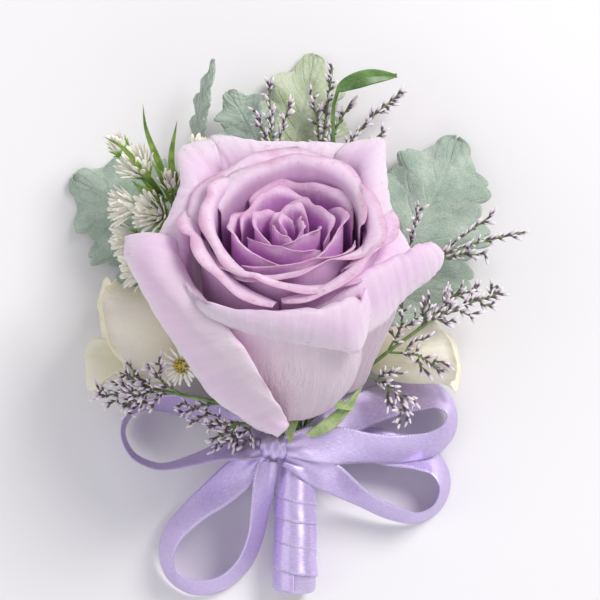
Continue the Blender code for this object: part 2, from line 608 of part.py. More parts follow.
def build():
    """Makes one object for each piece, moved so that the origin is under the middle of the whole."""
    for scene_object in list(bpy.data.objects):
        bpy.data.objects.remove(scene_object, do_unlink=True)
    points = np.concatenate([solid[0] for _, solids in pieces.values() for solid in solids])
    low, high = points.min(axis=0), points.max(axis=0)
    shift = -np.array([(low[0] + high[0]) / 2, (low[1] + high[1]) / 2, low[2]])
    for name, (finish, solids) in pieces.items():
        material = finish_material(finish)
        (first_points, first_faces), *others = solids
        piece = mesh_object(name, first_points + shift, first_faces, material)
        for i, (other_points, other_faces) in enumerate(others):
            branch = mesh_object(f"{name}_branch_{i + 1}", other_points + shift, other_faces, material)
            branch.hide_render = True
            branch.display_type = "WIRE"
            union = piece.modifiers.new(f"branch_{i + 1}", "BOOLEAN")
            union.operation = "UNION"
            union.object = branch


add_rose()
add_rose_stem()
add_calyx()
add_leaves()
add_asters()
add_lisianthus()
add_sea_lavender()
add_wrap()
add_bow()
build()
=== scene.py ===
# %% [markdown]
# A boutonniere is a small bunch of flowers that is pinned to a jacket. This one is lying on its back. A big
# lilac rose sits in the middle, with felted dusty miller leaves, small asters, cream lisianthus and sprays of
# sea lavender round it. All their stems run down one handle, bound in satin ribbon and tied with a bow. The
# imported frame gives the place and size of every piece, so it is loaded first and nothing in it is moved.

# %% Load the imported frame
import math

import bmesh
import bpy
import numpy as np
from mathutils import Matrix, Vector


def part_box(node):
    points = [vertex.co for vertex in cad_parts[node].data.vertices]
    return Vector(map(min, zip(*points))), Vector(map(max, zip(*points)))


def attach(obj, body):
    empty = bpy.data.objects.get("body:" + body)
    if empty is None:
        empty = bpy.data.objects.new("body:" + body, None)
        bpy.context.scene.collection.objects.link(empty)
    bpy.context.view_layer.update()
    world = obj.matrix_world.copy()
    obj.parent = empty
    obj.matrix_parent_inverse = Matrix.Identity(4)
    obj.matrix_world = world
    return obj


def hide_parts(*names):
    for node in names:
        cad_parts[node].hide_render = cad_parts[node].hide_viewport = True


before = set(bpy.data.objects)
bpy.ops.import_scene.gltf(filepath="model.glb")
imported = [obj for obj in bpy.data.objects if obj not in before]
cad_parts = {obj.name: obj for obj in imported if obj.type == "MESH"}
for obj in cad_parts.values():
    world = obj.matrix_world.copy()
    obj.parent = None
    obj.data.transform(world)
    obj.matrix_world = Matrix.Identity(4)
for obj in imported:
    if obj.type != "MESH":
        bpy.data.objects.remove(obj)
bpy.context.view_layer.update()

# %% [markdown]
# The flowers were designed in millimetres, from a point near the middle of the rose. The frame stands on its
# own origin instead. The handle's binding is a plain tube, so its box says how far one is from the other: its
# middle across, and the highest and the foremost point of its upper rim.

# %% From design millimetres to the frame
MM = 0.001
ACROSS, UP = np.array([1.0, 0.0, 0.0]), np.array([0.0, 0.0, 1.0])
HANDLE_TOP, HANDLE_END = np.array([0.0, -31.0, 8.6]), np.array([0.0, -68.4, 6.0])
WRAP_RADIUS = 5.1


def unit(vectors):
    vectors = np.asarray(vectors, float)
    return vectors / np.maximum(np.linalg.norm(vectors, axis=-1, keepdims=True), 1e-9)


down_handle = unit(HANDLE_END - HANDLE_TOP)
rim_up = np.abs(np.cross(ACROSS, down_handle))
wrap_low, wrap_high = (np.array(corner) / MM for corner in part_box("handle_wrap"))
rim_top = HANDLE_TOP + WRAP_RADIUS * rim_up
SHIFT = np.array([(wrap_low[0] + wrap_high[0]) / 2, wrap_high[1] - rim_top[1], wrap_high[2] - rim_top[2]])


def placed(points):
    """Design millimetres to metres in the frame."""
    return (np.asarray(points, float) + SHIFT) * MM


print("the design sits", SHIFT.round(3), "mm from the frame's origin")

# %% [markdown]
# The bunch is seen from straight above, lying on a pale table, which shows all of its face at once. A long
# lens from almost a metre away keeps the proportions true: the rose stands 70 mm high, and a near camera
# would swell it. One big soft lamp at the upper right gives the soft shadows, and two weak ones open the dark
# side.

# %% Camera, table and light
CAMERA_OVER, FIELD, FOCUS_HEIGHT, SENSOR = (1.25, 6.0, 900.0), 150.0, 25.0, 36.0
PAPER, TABLE_HALF = (0.865, 0.85, 0.87), 3

camera_data = bpy.data.cameras.new("overhead_camera")
camera_data.sensor_width = SENSOR
camera_data.lens = SENSOR * (CAMERA_OVER[2] - FOCUS_HEIGHT) / FIELD
camera = bpy.data.objects.new("overhead_camera", camera_data)
camera.location = placed(CAMERA_OVER)
bpy.context.scene.collection.objects.link(camera)
bpy.context.scene.camera = camera

table_mesh = bpy.data.meshes.new("table")
corners = [(x * TABLE_HALF, y * TABLE_HALF, 0) for x, y in ((-1, -1), (1, -1), (1, 1), (-1, 1))]
table_mesh.from_pydata(corners, [], [(0, 1, 2, 3)])
table_top = bpy.data.objects.new("table", table_mesh)
bpy.context.scene.collection.objects.link(table_top)
table_finish = bpy.data.materials.new("table_paper")
table_finish.use_nodes = True
paper = table_finish.node_tree.nodes["Principled BSDF"].inputs
paper["Base Color"].default_value, paper["Roughness"].default_value = (*PAPER, 1), 0.9
table_mesh.materials.append(table_finish)


def lamp(name, place, size, energy, colour=(1, 1, 1)):
    """A square soft lamp that looks at the frame's origin, under the rose."""
    light = bpy.data.lights.new(name, "AREA")
    light.size, light.energy, light.color = size, energy, colour
    holder = bpy.data.objects.new(name, light)
    holder.location = place
    towards = -holder.location.normalized()
    holder.rotation_euler = towards.to_track_quat("-Z", "Y").to_euler()
    bpy.context.scene.collection.objects.link(holder)


lamp("window_lamp", (0.62, 0.62, 0.85), size=0.45, energy=10.5, colour=(1.0, 0.985, 0.96))
lamp("left_fill", (-0.9, -0.1, 0.7), size=1.0, energy=2.4)
lamp("low_fill", (0.1, -0.9, 0.5), size=0.9, energy=2.0)
world = bpy.data.worlds.new("pale_room")
world.use_nodes = True
sky = world.node_tree.nodes["Background"].inputs
sky["Color"].default_value, sky["Strength"].default_value = (0.95, 0.96, 1.0, 1), 0.5
bpy.context.scene.world = world
bpy.context.scene.view_settings.view_transform = "Standard"
print("camera", list(camera.location), "lens", round(camera_data.lens, 1), "mm")

# %% [markdown]
# Nearly everything on a flower is a thin skin on a curved line, so a few helpers do most of the modelling: a
# smooth curve through a few points, a closed skin on either side of a grid of points, and a round tube along
# a path. Writing them as arrays of points keeps every margin, fold and wrinkle under control.

# %% Curves
def smooth_step(x, low, high):
    x = np.clip((x - low) / (high - low), 0, 1)
    return x * x * (3 - 2 * x)


def bezier(controls, count):
    t = np.linspace(0, 1, count)[:, None]
    a, b, c, d = (np.asarray(point, float) for point in controls)
    return a * (1 - t) ** 3 + 3 * b * t * (1 - t) ** 2 + 3 * c * t * t * (1 - t) + d * t**3


def hermite(a, b, slope_a, slope_b, t):
    """The way from a to b that leaves along slope_a and arrives along slope_b, with t from 0 to 1."""
    return ((2 * t**3 - 3 * t**2 + 1) * a + (t**3 - 2 * t**2 + t) * slope_a
            + (3 * t**2 - 2 * t**3) * b + (t**3 - t**2) * slope_b)


def distances(points):
    """How far along its chain each point lies. Columns after the third are carried along, not measured."""
    steps = np.linalg.norm(np.diff(points[:, :3], axis=0), axis=1)
    return np.concatenate([[0], np.cumsum(steps)])


def path_length(path):
    return float(distances(path)[-1])


def spaced(points, count):
    """This many points at even steps along a chain of points."""
    along = distances(points)
    wanted = np.linspace(0, along[-1], count)
    return np.stack([np.interp(wanted, along, column) for column in points.T], axis=1)


def curve_through(points, count):
    """Even points along the smooth curve through a few given ones."""
    points = np.asarray(points, float)
    along = distances(points)
    slopes = np.gradient(points, along, axis=0)
    fine = [hermite(a, b, step * slope_a, step * slope_b, t)
            for a, b, slope_a, slope_b, step in zip(points, points[1:], slopes, slopes[1:], np.diff(along))
            for t in np.linspace(0, 1, 16, endpoint=False)]
    return spaced(np.array([*fine, points[-1]]), count)


def frames_along(path):
    """Two directions square to a path at each of its points, turned as little as possible on the way."""
    tangents = unit(np.gradient(path, axis=0))
    side = unit(np.cross(tangents[0], UP if abs(tangents[0][2]) < 0.9 else ACROSS))
    sides = []
    for tangent in tangents:
        side = unit(side - tangent * (side @ tangent))
        sides.append(side)
    return np.array(sides), np.cross(tangents, sides)


print("a quarter circle of radius 10 measures", round(path_length(curve_through(
    [(10, 0, 0), (7.07, 7.07, 0), (0, 10, 0)], 50)), 2), "mm, and the true arc is 15.71")

# %% Skins and tubes
def grid_quads(rows, columns):
    """The quads of a grid as corner rows and corner columns."""
    i, j = np.meshgrid(np.arange(rows - 1), np.arange(columns - 1), indexing="ij")
    i, j = i.ravel(), j.ravel()
    return np.stack([i, i + 1, i + 1, i], 1), np.stack([j, j, j + 1, j + 1], 1)


def turned_out(points, faces, uvs):
    """Turns every face round if the closed shape has its inside out, which its signed volume shows."""
    a, b, c, d = (points[faces[:, k]] for k in range(4))
    volume = (a * np.cross(b, c)).sum() + (a * np.cross(c, d)).sum()
    return (points, faces, uvs) if volume > 0 else (points, faces[:, ::-1], uvs[:, ::-1])


def skin(grid, thickness, wrap=False, edge=0.5):
    """A closed skin on both sides of a grid. Its margins thin to the share `edge` of its thickness."""
    rows, columns = grid.shape[:2]
    kept = rows - 1 if wrap else rows
    base = grid[:kept]
    along_rows = (np.roll(base, -1, 0) - np.roll(base, 1, 0)) if wrap else np.gradient(base, axis=0)
    normals = unit(np.cross(along_rows, np.gradient(base, axis=1)))
    u, v = np.meshgrid(np.arange(kept) / (rows - 1), np.linspace(0, 1, columns), indexing="ij")
    margin = np.minimum(v, 1 - v) if wrap else np.minimum(np.minimum(u, 1 - u), np.minimum(v, 1 - v))
    half = (thickness / 2 * (edge + (1 - edge) * smooth_step(margin, 0, 0.05)))[..., None]
    points = np.concatenate([(base + normals * half).reshape(-1, 3), (base - normals * half).reshape(-1, 3)])
    under = kept * columns

    corner_i, corner_j = grid_quads(rows, columns)
    top = corner_i % kept * columns + corner_j
    uv = np.stack([corner_i / (rows - 1), corner_j / (columns - 1)], -1)
    faces, uvs = [top, top[:, ::-1] + under], [uv, uv[:, ::-1]]
    i, j = np.arange(rows - 1), np.arange(columns - 1)
    rims = [((i, 0 * i), (i + 1, 0 * i)), ((i + 1, 0 * i + columns - 1), (i, 0 * i + columns - 1))]
    if not wrap:
        rims += [((0 * j + rows - 1, j), (0 * j + rows - 1, j + 1)), ((0 * j, j + 1), (0 * j, j))]
    for (ai, aj), (bi, bj) in rims:
        a, b = ai % kept * columns + aj, bi % kept * columns + bj
        uv_a, uv_b = (np.stack([p / (rows - 1), q / (columns - 1)], -1) for p, q in ((ai, aj), (bi, bj)))
        faces.append(np.stack([b, a, a + under, b + under], 1))
        uvs.append(np.stack([uv_b, uv_a, uv_a, uv_b], 1))
    return turned_out(points, np.concatenate(faces), np.concatenate(uvs))


def tube(path, radii, sides=10):
    """A round rod along a path. Both ends close on a point, where mesh_from joins the ring into one."""
    right, up = frames_along(path)
    radii = np.broadcast_to(np.asarray(radii, float), len(path)).copy()
    tangent_a, tangent_b = unit(path[0] - path[1]), unit(path[-1] - path[-2])
    path = np.vstack([path[0] + tangent_a * radii[0] * 0.5, path, path[-1] + tangent_b * radii[-1] * 0.5])
    right, up = (np.vstack([d[:1], d, d[-1:]]) for d in (right, up))
    radii = np.concatenate([[0], radii, [0]])
    turn = np.linspace(0, 2 * math.pi, sides + 1)[:-1]
    points = (path[:, None] + radii[:, None, None]
              * (np.cos(turn)[None, :, None] * right[:, None] + np.sin(turn)[None, :, None] * up[:, None]))
    rows = len(path)
    corner_i, corner_j = grid_quads(rows, sides + 1)
    faces = corner_i * sides + corner_j % sides
    run = np.linspace(0, 1, rows)
    uvs = np.stack([corner_j / sides, run[corner_i]], -1)
    return turned_out(points.reshape(-1, 3), faces, uvs)


trial = skin(np.stack(np.meshgrid(np.arange(4.0), np.arange(3.0), [0.0], indexing="ij"), -1)[:, :, 0], 0.5)
print("a skin on a grid of 4 by 3 points has", len(trial[0]), "points and", len(trial[1]), "faces")

# %% Pieces
def mesh_from(name, parts, finish):
    """One mesh of several (points, faces, uvs) parts, smooth, with its UV map and its finish."""
    points, faces, uvs, count = [], [], [], 0
    for part_points, part_faces, part_uvs in parts:
        points.append(part_points)
        faces.append(part_faces + count)
        uvs.append(part_uvs)
        count += len(part_points)
    points, faces, uvs = (np.concatenate(x) for x in (points, faces, uvs))
    mesh = bpy.data.meshes.new(name)
    mesh.from_pydata(placed(points).tolist(), [], faces.tolist())
    layer = mesh.uv_layers.new(name="UVMap")
    layer.data.foreach_set("uv", uvs.astype(np.float32).ravel())
    mesh.polygons.foreach_set("use_smooth", np.ones(len(faces), bool))
    mesh.materials.append(finish)
    work = bmesh.new()
    work.from_mesh(mesh)
    bmesh.ops.remove_doubles(work, verts=work.verts, dist=1e-7)
    work.to_mesh(mesh)
    work.free()
    return mesh


def show(mesh, slot, *nodes):
    """Links the mesh as a piece of the same name, which stands for these nodes of the frame, if any."""
    piece = bpy.data.objects.new(mesh.name, mesh)
    bpy.context.scene.collection.objects.link(piece)
    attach(piece, "root")
    if nodes:
        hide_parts(*nodes)
    return piece


def say(what, *pieces):
    print(what + ":", len(pieces), "pieces,", sum(len(piece.data.polygons) for piece in pieces), "faces")


# %% [markdown]
# Finishes come before the pieces. A petal is darker and more purple deep in the flower and pales towards its
# margin; the darker foot is partly the petal's own colour and partly painted shade of the deep cup. Fine
# veins fan out along it, and the margin has small bruised specks. All of this follows the petal and not the
# room, so it reads the petal's own UV map: V runs from the foot to the margin. A colour ramp gives the
# colours with that painted shade, and a noise that is squeezed across and stretched along gives the veins.

# %% Helpers for materials
def srgb(text):
    """A colour written as six hex digits, made linear for a shader."""
    values = [int(text[i:i + 2], 16) / 255 for i in (0, 2, 4)]
    return tuple(((v + 0.055) / 1.055) ** 2.4 if v > 0.04045 else v / 12.92 for v in values) + (1.0,)


def add_node(tree, kind, inputs=(), **settings):
    """A new node with these settings. An input that is given a socket is linked to it, any other is set."""
    made = tree.nodes.new(kind)
    for key, value in settings.items():
        setattr(made, key, value)
    for key, value in dict(inputs).items():
        if isinstance(value, bpy.types.NodeSocket):
            tree.links.new(value, made.inputs[key])
        else:
            made.inputs[key].default_value = value
    return made


def maths(tree, operation, a, b=0.0):
    return add_node(tree, "ShaderNodeMath", {0: a, 1: b}, operation=operation).outputs[0]


class Finish:
    """A material that is built node by node."""

    def __init__(self, name, roughness, **sockets):
        self.material = bpy.data.materials.new(name)
        self.material.use_nodes = True
        self.tree = self.material.node_tree
        self.shader = self.tree.nodes["Principled BSDF"]
        for socket, value in {"Roughness": roughness, **sockets}.items():
            self.shader.inputs[socket.replace("_", " ")].default_value = value
        coordinates = self.node("ShaderNodeTexCoord").outputs
        self.place, self.uv = coordinates["Object"], coordinates["UV"]
        split = self.node("ShaderNodeSeparateXYZ", {"Vector": self.uv}).outputs
        self.u, self.v = split["X"], split["Y"]

    def node(self, kind, inputs=(), **settings):
        return add_node(self.tree, kind, inputs, **settings)

    def stretched(self, u_scale, v_scale):
        scale = (u_scale, v_scale, 1)
        return self.node("ShaderNodeMapping", {"Vector": self.uv, "Scale": scale}).outputs["Vector"]

    def noise(self, vector, scale=1.0, detail=3.0, roughness=0.55):
        inputs = {"Vector": vector, "Scale": scale, "Detail": detail, "Roughness": roughness}
        return self.node("ShaderNodeTexNoise", inputs).outputs["Fac"]

    def ramp(self, factor, *stops):
        """A colour ramp: stops are (position, hex colour) or (position, grey)."""
        made = self.node("ShaderNodeValToRGB", {"Fac": factor})
        elements = made.color_ramp.elements
        while len(elements) < len(stops):
            elements.new(0.5)
        for element, (position, colour) in zip(elements, stops):
            element.position = position
            element.color = srgb(colour) if isinstance(colour, str) else (colour, colour, colour, 1)
        return made.outputs["Color"]

    def mix(self, factor, a, b):
        a, b = (srgb(colour) if isinstance(colour, str) else colour for colour in (a, b))
        return self.node("ShaderNodeMix", {0: factor, 6: a, 7: b}, data_type="RGBA").outputs[2]

    def plus(self, a, b):
        return maths(self.tree, "ADD", a, b)

    def times(self, a, b):
        return maths(self.tree, "MULTIPLY", a, b)

    def off_middle(self, value):
        """How far a value is from a half, either way."""
        return maths(self.tree, "ABSOLUTE", self.plus(value, -0.5))

    def coloured(self, colour):
        self.tree.links.new(colour, self.shader.inputs["Base Color"])

    def bumped(self, height, distance, strength):
        bump = self.node("ShaderNodeBump", {"Height": height, "Distance": distance, "Strength": strength})
        self.tree.links.new(bump.outputs["Normal"], self.shader.inputs["Normal"])


print("a mid grey, 808080, is", round(srgb("808080")[0], 3), "in a shader")

# %% Petal finishes
VEIN_FAN, CRINKLES, CREASES = (34, 2.2), (20, 13), (46, 17)
CLOUD_SCALE, SPECK_SCALE, CLOUD_SHIFT = 140.0, 620.0, 0.10


def petal_finish(name, shades, veins, specks, vein_colour="9A6CA8", stain="9C6A72", glow=(1.0, 0.6, 0.95),
                 wrinkles=0.0, depth=0.5):
    """shades are ramp stops from the foot (0) to the margin (1) of a petal; their dark stops at the foot are
    partly the petal's own colour and partly painted shade of the deep cup. veins, specks and wrinkles say how
    strong each of them is, glow and depth how light spreads inside the petal."""
    finish = Finish(name, 0.55, Sheen_Weight=0.2, Sheen_Roughness=0.4, Subsurface_Weight=depth,
                    Subsurface_Radius=glow, Subsurface_Scale=0.004)
    fan = finish.noise(finish.stretched(*VEIN_FAN), 1.0, 5.0, 0.62)
    cloud = finish.noise(finish.place, CLOUD_SCALE)
    wobble = finish.plus(finish.times(cloud, CLOUD_SHIFT), -CLOUD_SHIFT / 2)
    # The ramp along V darkens each petal's foot: partly its own colour, partly painted shade of the cup.
    shade = finish.ramp(finish.plus(finish.v, wobble), *shades)
    shade = finish.mix(finish.times(finish.ramp(fan, (0.40, 0.0), (0.62, 1.0)), veins), shade, vein_colour)
    near_margin = finish.ramp(finish.v, (0.90, 0.0), (0.985, 1.0))
    spots = finish.ramp(finish.noise(finish.place, SPECK_SCALE, 2.0), (0.60, 0.0), (0.70, 1.0))
    finish.coloured(finish.mix(finish.times(finish.times(near_margin, spots), specks), shade, stain))
    crinkle = finish.noise(finish.stretched(*CRINKLES), 1.0, 5.0, 0.65)
    creases = finish.off_middle(finish.noise(finish.stretched(*CREASES), 1.0, 3.0, 0.5))
    creases = finish.times(creases, finish.ramp(finish.v, (0.30, wrinkles), (0.55, wrinkles), (0.75, 0.0)))
    height = finish.plus(finish.plus(finish.times(fan, 0.16), crinkle), finish.times(creases, 6.0))
    finish.bumped(height, 0.0004, 0.55)
    return finish.material


# The dark first stops of these three ramps are partly painted shade deep in the cup and the heart.
guard_petal_finish = petal_finish("guard_petal_finish", [
    (0.0, "A880A2"), (0.30, "EACBE0"), (0.62, "F8D8EE"), (0.86, "F6CAF2"), (0.97, "F8DCF4"),
    (1.0, "E0B8CC")], veins=0.08, specks=0.5, wrinkles=1.2)
middle_petal_finish = petal_finish("middle_petal_finish", [
    (0.0, "7E3C88"), (0.45, "B870BE"), (0.66, "CE90CE"), (0.84, "DAA8DA"), (0.965, "EECEE8"),
    (1.0, "D2A0C0")], veins=0.07, specks=0.3, vein_colour="A866AC", depth=0.3)
inner_petal_finish = petal_finish("inner_petal_finish", [
    (0.0, "521A5C"), (0.52, "A050A8"), (0.72, "C67ACE"), (0.90, "D898DA"), (0.97, "EECAEA"),
    (1.0, "D6A0C6")], veins=0.08, specks=0.3, vein_colour="9A54A2", depth=0.2)
print("petal finishes:", [m.name for m in (guard_petal_finish, middle_petal_finish, inner_petal_finish)])

# %% [markdown]
# A rose petal starts as a narrow claw on the hip, swells into a bowl and ends in a margin that rolls outwards
# over two slanted folds, which is why rose petals end in a soft point. So one function makes them all: a side
# line in radius and height says how cupped the petal is, the width is laid round that bowl, and past each
# fold line the skin is bent on a small cylinder. Small waves and crinkles near the margin come last.

# %% A petal
ROSE_FOOT, ROSE_LEAN = np.array([-1.25, -13.5, 22.0]), math.radians(50)
ROSE_FRONT = np.array([0.0, -math.cos(ROSE_LEAN), math.sin(ROSE_LEAN)])
ROSE_AXIS = np.array([0.0, math.sin(ROSE_LEAN), math.cos(ROSE_LEAN)])
PETAL_STEP, PETAL_THICK = 0.95, 0.5


def petal(turn, half, rim, belly, order, over, slant, roll, cap, wave, waves, crinkle, lean=0.0, rounding=0.1,
          across=49, along=57, foot=ROSE_FOOT, front=ROSE_FRONT, axis=ROSE_AXIS):
    """The grid of one petal, in design millimetres and degrees.

    turn is its place round the flower, half its half width, order its place in the stack, belly and rim the
    (radius, height) of its cupped side, and over how far it runs past the rim. It rolls there on a cylinder
    of radius roll, over two folds that slant by these angles, and never by more than cap. lean moves the
    point between the folds to one side, and rounding takes its corners off."""
    start = (2.2, order * PETAL_STEP)
    reach_out = min(24 - 0.75 * order, belly[0])
    line = bezier([start, (reach_out, order * PETAL_STEP - 2), belly, rim], 160)
    run = distances(line)
    length = run[-1]
    leaving = unit(line[-1] - line[-2])

    u, v = np.meshgrid(np.linspace(-1, 1, across), np.linspace(0, 1, along), indexing="ij")
    s = u * half * (0.28 + 0.72 * np.sin(math.pi / 2 * np.clip(v / 0.72, 0, 1)) ** 1.1)
    phase = 1.7 * order + 0.02 * turn
    uneven = 1 + 0.012 * np.sin(5.2 * u + phase) + 0.008 * np.sin(11.7 * u + 2 * phase)
    t = v * (length + over) * (1 - rounding * np.abs(u - lean) ** 2.6) * uneven

    moved = []
    for sign, degrees in ((-1, slant[0]), (1, slant[1])):
        toward_s, toward_t = sign * math.sin(math.radians(degrees)), math.cos(math.radians(degrees))
        past = np.maximum((s - lean * half) * toward_s + (t - length) * toward_t, 0)
        angle = np.minimum(past / roll, math.radians(cap))
        rest = past - angle * roll
        forward = roll * np.sin(angle) + rest * np.cos(angle) - past
        moved.append((s + toward_s * forward, t + toward_t * forward,
                      roll * (1 - np.cos(angle)) + rest * np.sin(angle)))
    blend = smooth_step(s - lean * half, -2.5, 2.5)
    s, t, out = (a * (1 - blend) + b * blend for a, b in zip(*moved))
    near_margin = smooth_step(v, 0.45, 1.0)
    out = out + wave * near_margin * np.sin(waves * math.pi * u + phase)
    out = out + crinkle * smooth_step(v, 0.6, 1.0) * (
        np.sin(17 * u + 9 * v + phase) * np.sin(7 * u - 5 * v) + 0.6 * np.sin(29 * u + 2 * phase + 6 * v))

    beyond = np.maximum(t - length, 0)
    r = np.interp(t, run, line[:, 0]) + beyond * leaving[0]
    h = np.interp(t, run, line[:, 1]) + beyond * leaving[1]
    tangent_r = np.interp(t, run, np.gradient(line[:, 0], run))
    tangent_h = np.interp(t, run, np.gradient(line[:, 1], run))
    size = np.hypot(tangent_r, tangent_h)
    wide = np.maximum(r, 2)
    swing = s / wide
    centre, reach = r - wide, wide + out * tangent_h / size
    place = math.radians(turn)
    x = centre * math.sin(place) + reach * np.sin(place + swing)
    y = centre * math.cos(place) + reach * np.cos(place + swing)
    height = h - out * tangent_r / size
    side = np.cross(axis, front)
    return foot + x[..., None] * side + y[..., None] * front + height[..., None] * axis


# %% [markdown]
# The guard petals are the ones that the eye goes to, and each has folded in its own way: the left one is a
# long band that runs down to a point at the stem, the front one a deep bowl with a wide roll, and the back
# ones flat collars with sharp corners. A rule can't give that, so each is lofted through a few given
# sections.
# A section gives the crest of the fold, the middle of the flap and the flap's margin. The bowl under the
# crest, which mostly hides, is worked out from the crest, so it always swells from the hip as a petal does.

# %% The guard petals
GUARDS = {
    "left": dict(bowls=(0.97, 0.97, 0.97, 0.96, 0.94, 0.90, 0.82, 0.76), sections=[
        ((-29, 21, 51), (-35.5, 22.5, 51), (-41.5, 21.5, 47)),
        ((-26.5, 13, 56), (-33.5, 15.5, 56), (-40.5, 16.5, 47)),
        ((-22.5, 7, 61), (-29, 8, 60.5), (-36.5, 9, 47)),
        ((-17.5, 1, 66), (-24, 1, 64), (-31.5, 0.5, 48)),
        ((-12.5, -5, 68), (-18.5, -6.5, 65.5), (-25.5, -9, 48)),
        ((-8, -12.5, 65.5), (-13, -14, 63.5), (-19.5, -17.5, 50)),
        ((-4.5, -19, 59.5), (-8, -20, 58.5), (-12.5, -22, 50)),
        ((-2, -25, 50), (-3, -26, 49.5), (-4, -27, 47))]),
    "right": dict(bowls=0.72, sections=[
        ((4, 4, 63), (6.5, 1, 62), (9, -2, 57)),
        ((12, 8.5, 62), (13.5, 3.5, 61), (15.5, -2, 55)),
        ((18.5, 13.5, 58.5), (20.5, 8.5, 58), (22, 1.5, 51)),
        ((24, 16.5, 56), (25.5, 12, 56), (26.5, 6.5, 49)),
        ((29.5, 18.5, 54.5), (31, 15, 54), (32, 11, 48.5)),
        ((33.5, 19.8, 53), (36, 17.5, 52.5), (35, 14, 49.5))]),
    "right_back": dict(bowls=0.75, sections=[
        ((10.5, 43, 37), (11.5, 44, 36.5), (12.5, 45, 35)),
        ((16, 41, 40), (18.5, 43.5, 39.5), (21.5, 46, 35)),
        ((17.5, 36, 44), (20, 37.5, 43.5), (22, 39, 39)),
        ((18.5, 30.5, 46.5), (20.5, 31, 46), (22.5, 32.5, 42)),
        ((19.5, 25, 48.5), (22, 25, 48), (24.5, 25, 43.5)),
        ((21, 20, 50), (25, 18.5, 49), (28.5, 17.5, 44)),
        ((18.5, 14.5, 54), (20.5, 14, 53.5), (22.5, 13.5, 50))]),
    "left_back": dict(bowls=0.86, sections=[
        ((-19, 42.5, 37), (-19.5, 44, 36.5), (-21, 45.5, 34)),
        ((-22.5, 37.5, 40), (-26, 40.5, 39.5), (-28.8, 43, 35)),
        ((-24.5, 34, 44), (-26.5, 34.3, 43.5), (-28.3, 35, 39.5)),
        ((-26, 28, 47), (-28, 27.5, 46.5), (-30.2, 27.5, 42.5)),
        ((-27.5, 21.5, 50), (-30, 21, 49), (-33, 20.5, 45)),
        ((-27.5, 15, 53), (-29, 14.5, 52), (-30.5, 14.5, 49))]),
    "back": dict(bowls=0.8, sections=[
        ((-20, 39.5, 36), (-20.5, 41.5, 35.5), (-21, 43.5, 33)),
        ((-16, 42, 36), (-18, 44, 35.5), (-19.8, 46.5, 32)),
        ((-9.5, 43, 36.5), (-10, 44.5, 36), (-10.5, 45.5, 33)),
        ((-2, 43.5, 36.5), (-2, 44.5, 36), (-2, 45.5, 33)),
        ((5, 43, 36.5), (5.5, 44, 36), (6, 45, 33)),
        ((12.5, 41.5, 36), (13.5, 43, 35.5), (15, 44, 33))]),
    "front": dict(bowls=0.93, sections=[
        ((-26, 10, 62), (-26, 9, 62), (-26, 8, 60)),
        ((-21.5, 6, 68), (-21.5, 4.5, 67.5), (-22, 2.5, 62)),
        ((-14, 3.5, 71), (-14, 1.5, 70.5), (-13.5, -0.5, 64.5)),
        ((-6, 3, 72.5), (-6, 0.5, 72), (-6, -2, 65.5)),
        ((2.5, 3.5, 72.5), (2, 0, 72), (1.5, -3.5, 65)),
        ((9, 5, 71), (9.5, 0.5, 71), (9, -5, 63)),
        ((13.5, 7, 68.5), (14.5, 1, 68), (15.5, -6, 60.5)),
        ((17, 9, 64), (18, 6, 63), (18.5, 2.5, 58))]),
}


def across_sections(lines, count):
    """A smooth surface across a few lines of the same number of points, each column on its own curve."""
    lines = np.asarray(lines, float)
    slopes = np.gradient(lines, axis=0)
    place = np.linspace(0, len(lines) - 1, count)
    k = np.minimum(place.astype(int), len(lines) - 2)
    return hermite(lines[k], lines[k + 1], slopes[k], slopes[k + 1], (place - k)[:, None, None])


def guard_petal(order, bowls, sections, across=65, along=61):
    """The grid of one guard petal, from its claw on the hip over the crest to the curled-under margin.

    bowls is how far out the bowl swells, as a share of the crest's reach, for all sections or for each."""
    lines, rise = [], 0.4 * order
    for (crest, flap, margin), bowl in zip(np.asarray(sections, float),
                                           np.broadcast_to(bowls, len(sections))):
        from_foot = crest - ROSE_FOOT
        side, front, height = from_foot @ ACROSS, from_foot @ ROSE_FRONT, from_foot @ ROSE_AXIS
        reach = math.hypot(side, front)
        outward = (side * ACROSS + front * ROSE_FRONT) / reach
        hidden = [ROSE_FOOT + r * outward + h * ROSE_AXIS for r, h in (
            (2.2, rise), (0.5 * reach, rise - 2 - 0.02 * height), (0.84 * bowl * reach, 0.14 * height + rise),
            (bowl * reach, 0.42 * height), (0.5 * (1 + bowl) * reach, 0.78 * height))]
        under = margin + 0.22 * (flap - margin) - 1.6 * UP
        lines.append(curve_through([*hidden, crest, flap, margin, under], along))
    grid = across_sections(lines, across)
    u, v = np.meshgrid(np.linspace(-1, 1, across), np.linspace(0, 1, along), indexing="ij")
    lift = (0.35 * np.sin(4.1 * u + order) * smooth_step(v, 0.3, 0.9)
            + 0.10 * np.sin(23 * u + 6 * v + order) * np.sin(9 * u - 13 * v)
            + 0.07 * smooth_step(v, 0.5, 1.0) * np.sin(41 * u + 2 * order + 9 * v))
    normals = unit(np.cross(np.gradient(grid, axis=0), np.gradient(grid, axis=1)))
    return grid + lift[..., None] * normals


guards = []
for order, (place, spec) in enumerate(GUARDS.items()):
    mesh = mesh_from(f"rose_guard_{place}", [skin(guard_petal(order, **spec), PETAL_THICK)],
                     guard_petal_finish)
    guards.append(show(mesh, "rose_outer", f"guard_petal_{place}"))
say("guard petals", *guards)

# %% [markdown]
# Inside the guards the rose follows a rule. Eight middle petals make the cup, and the heart is a tight spiral
# of smaller ones. Each is turned by the golden angle from the last, as a real bud packs them, and stands a
# little further in, so loops place them all. A petal is paler outside than inside, which shows where the cup
# is seen between two guards: the UVs of a middle petal's outer side take only the pale end of its colours.

# %% The cup and the heart
GOLDEN_TURN, CUP_START, HEART_START = 137.5, -74, 20
MIDDLE_PETALS, INNER_PETALS = 8, 13
PALE_FROM, PALE_SPAN = 0.86, 0.03


def nodes_called(start):
    return sorted(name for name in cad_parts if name.startswith(start))


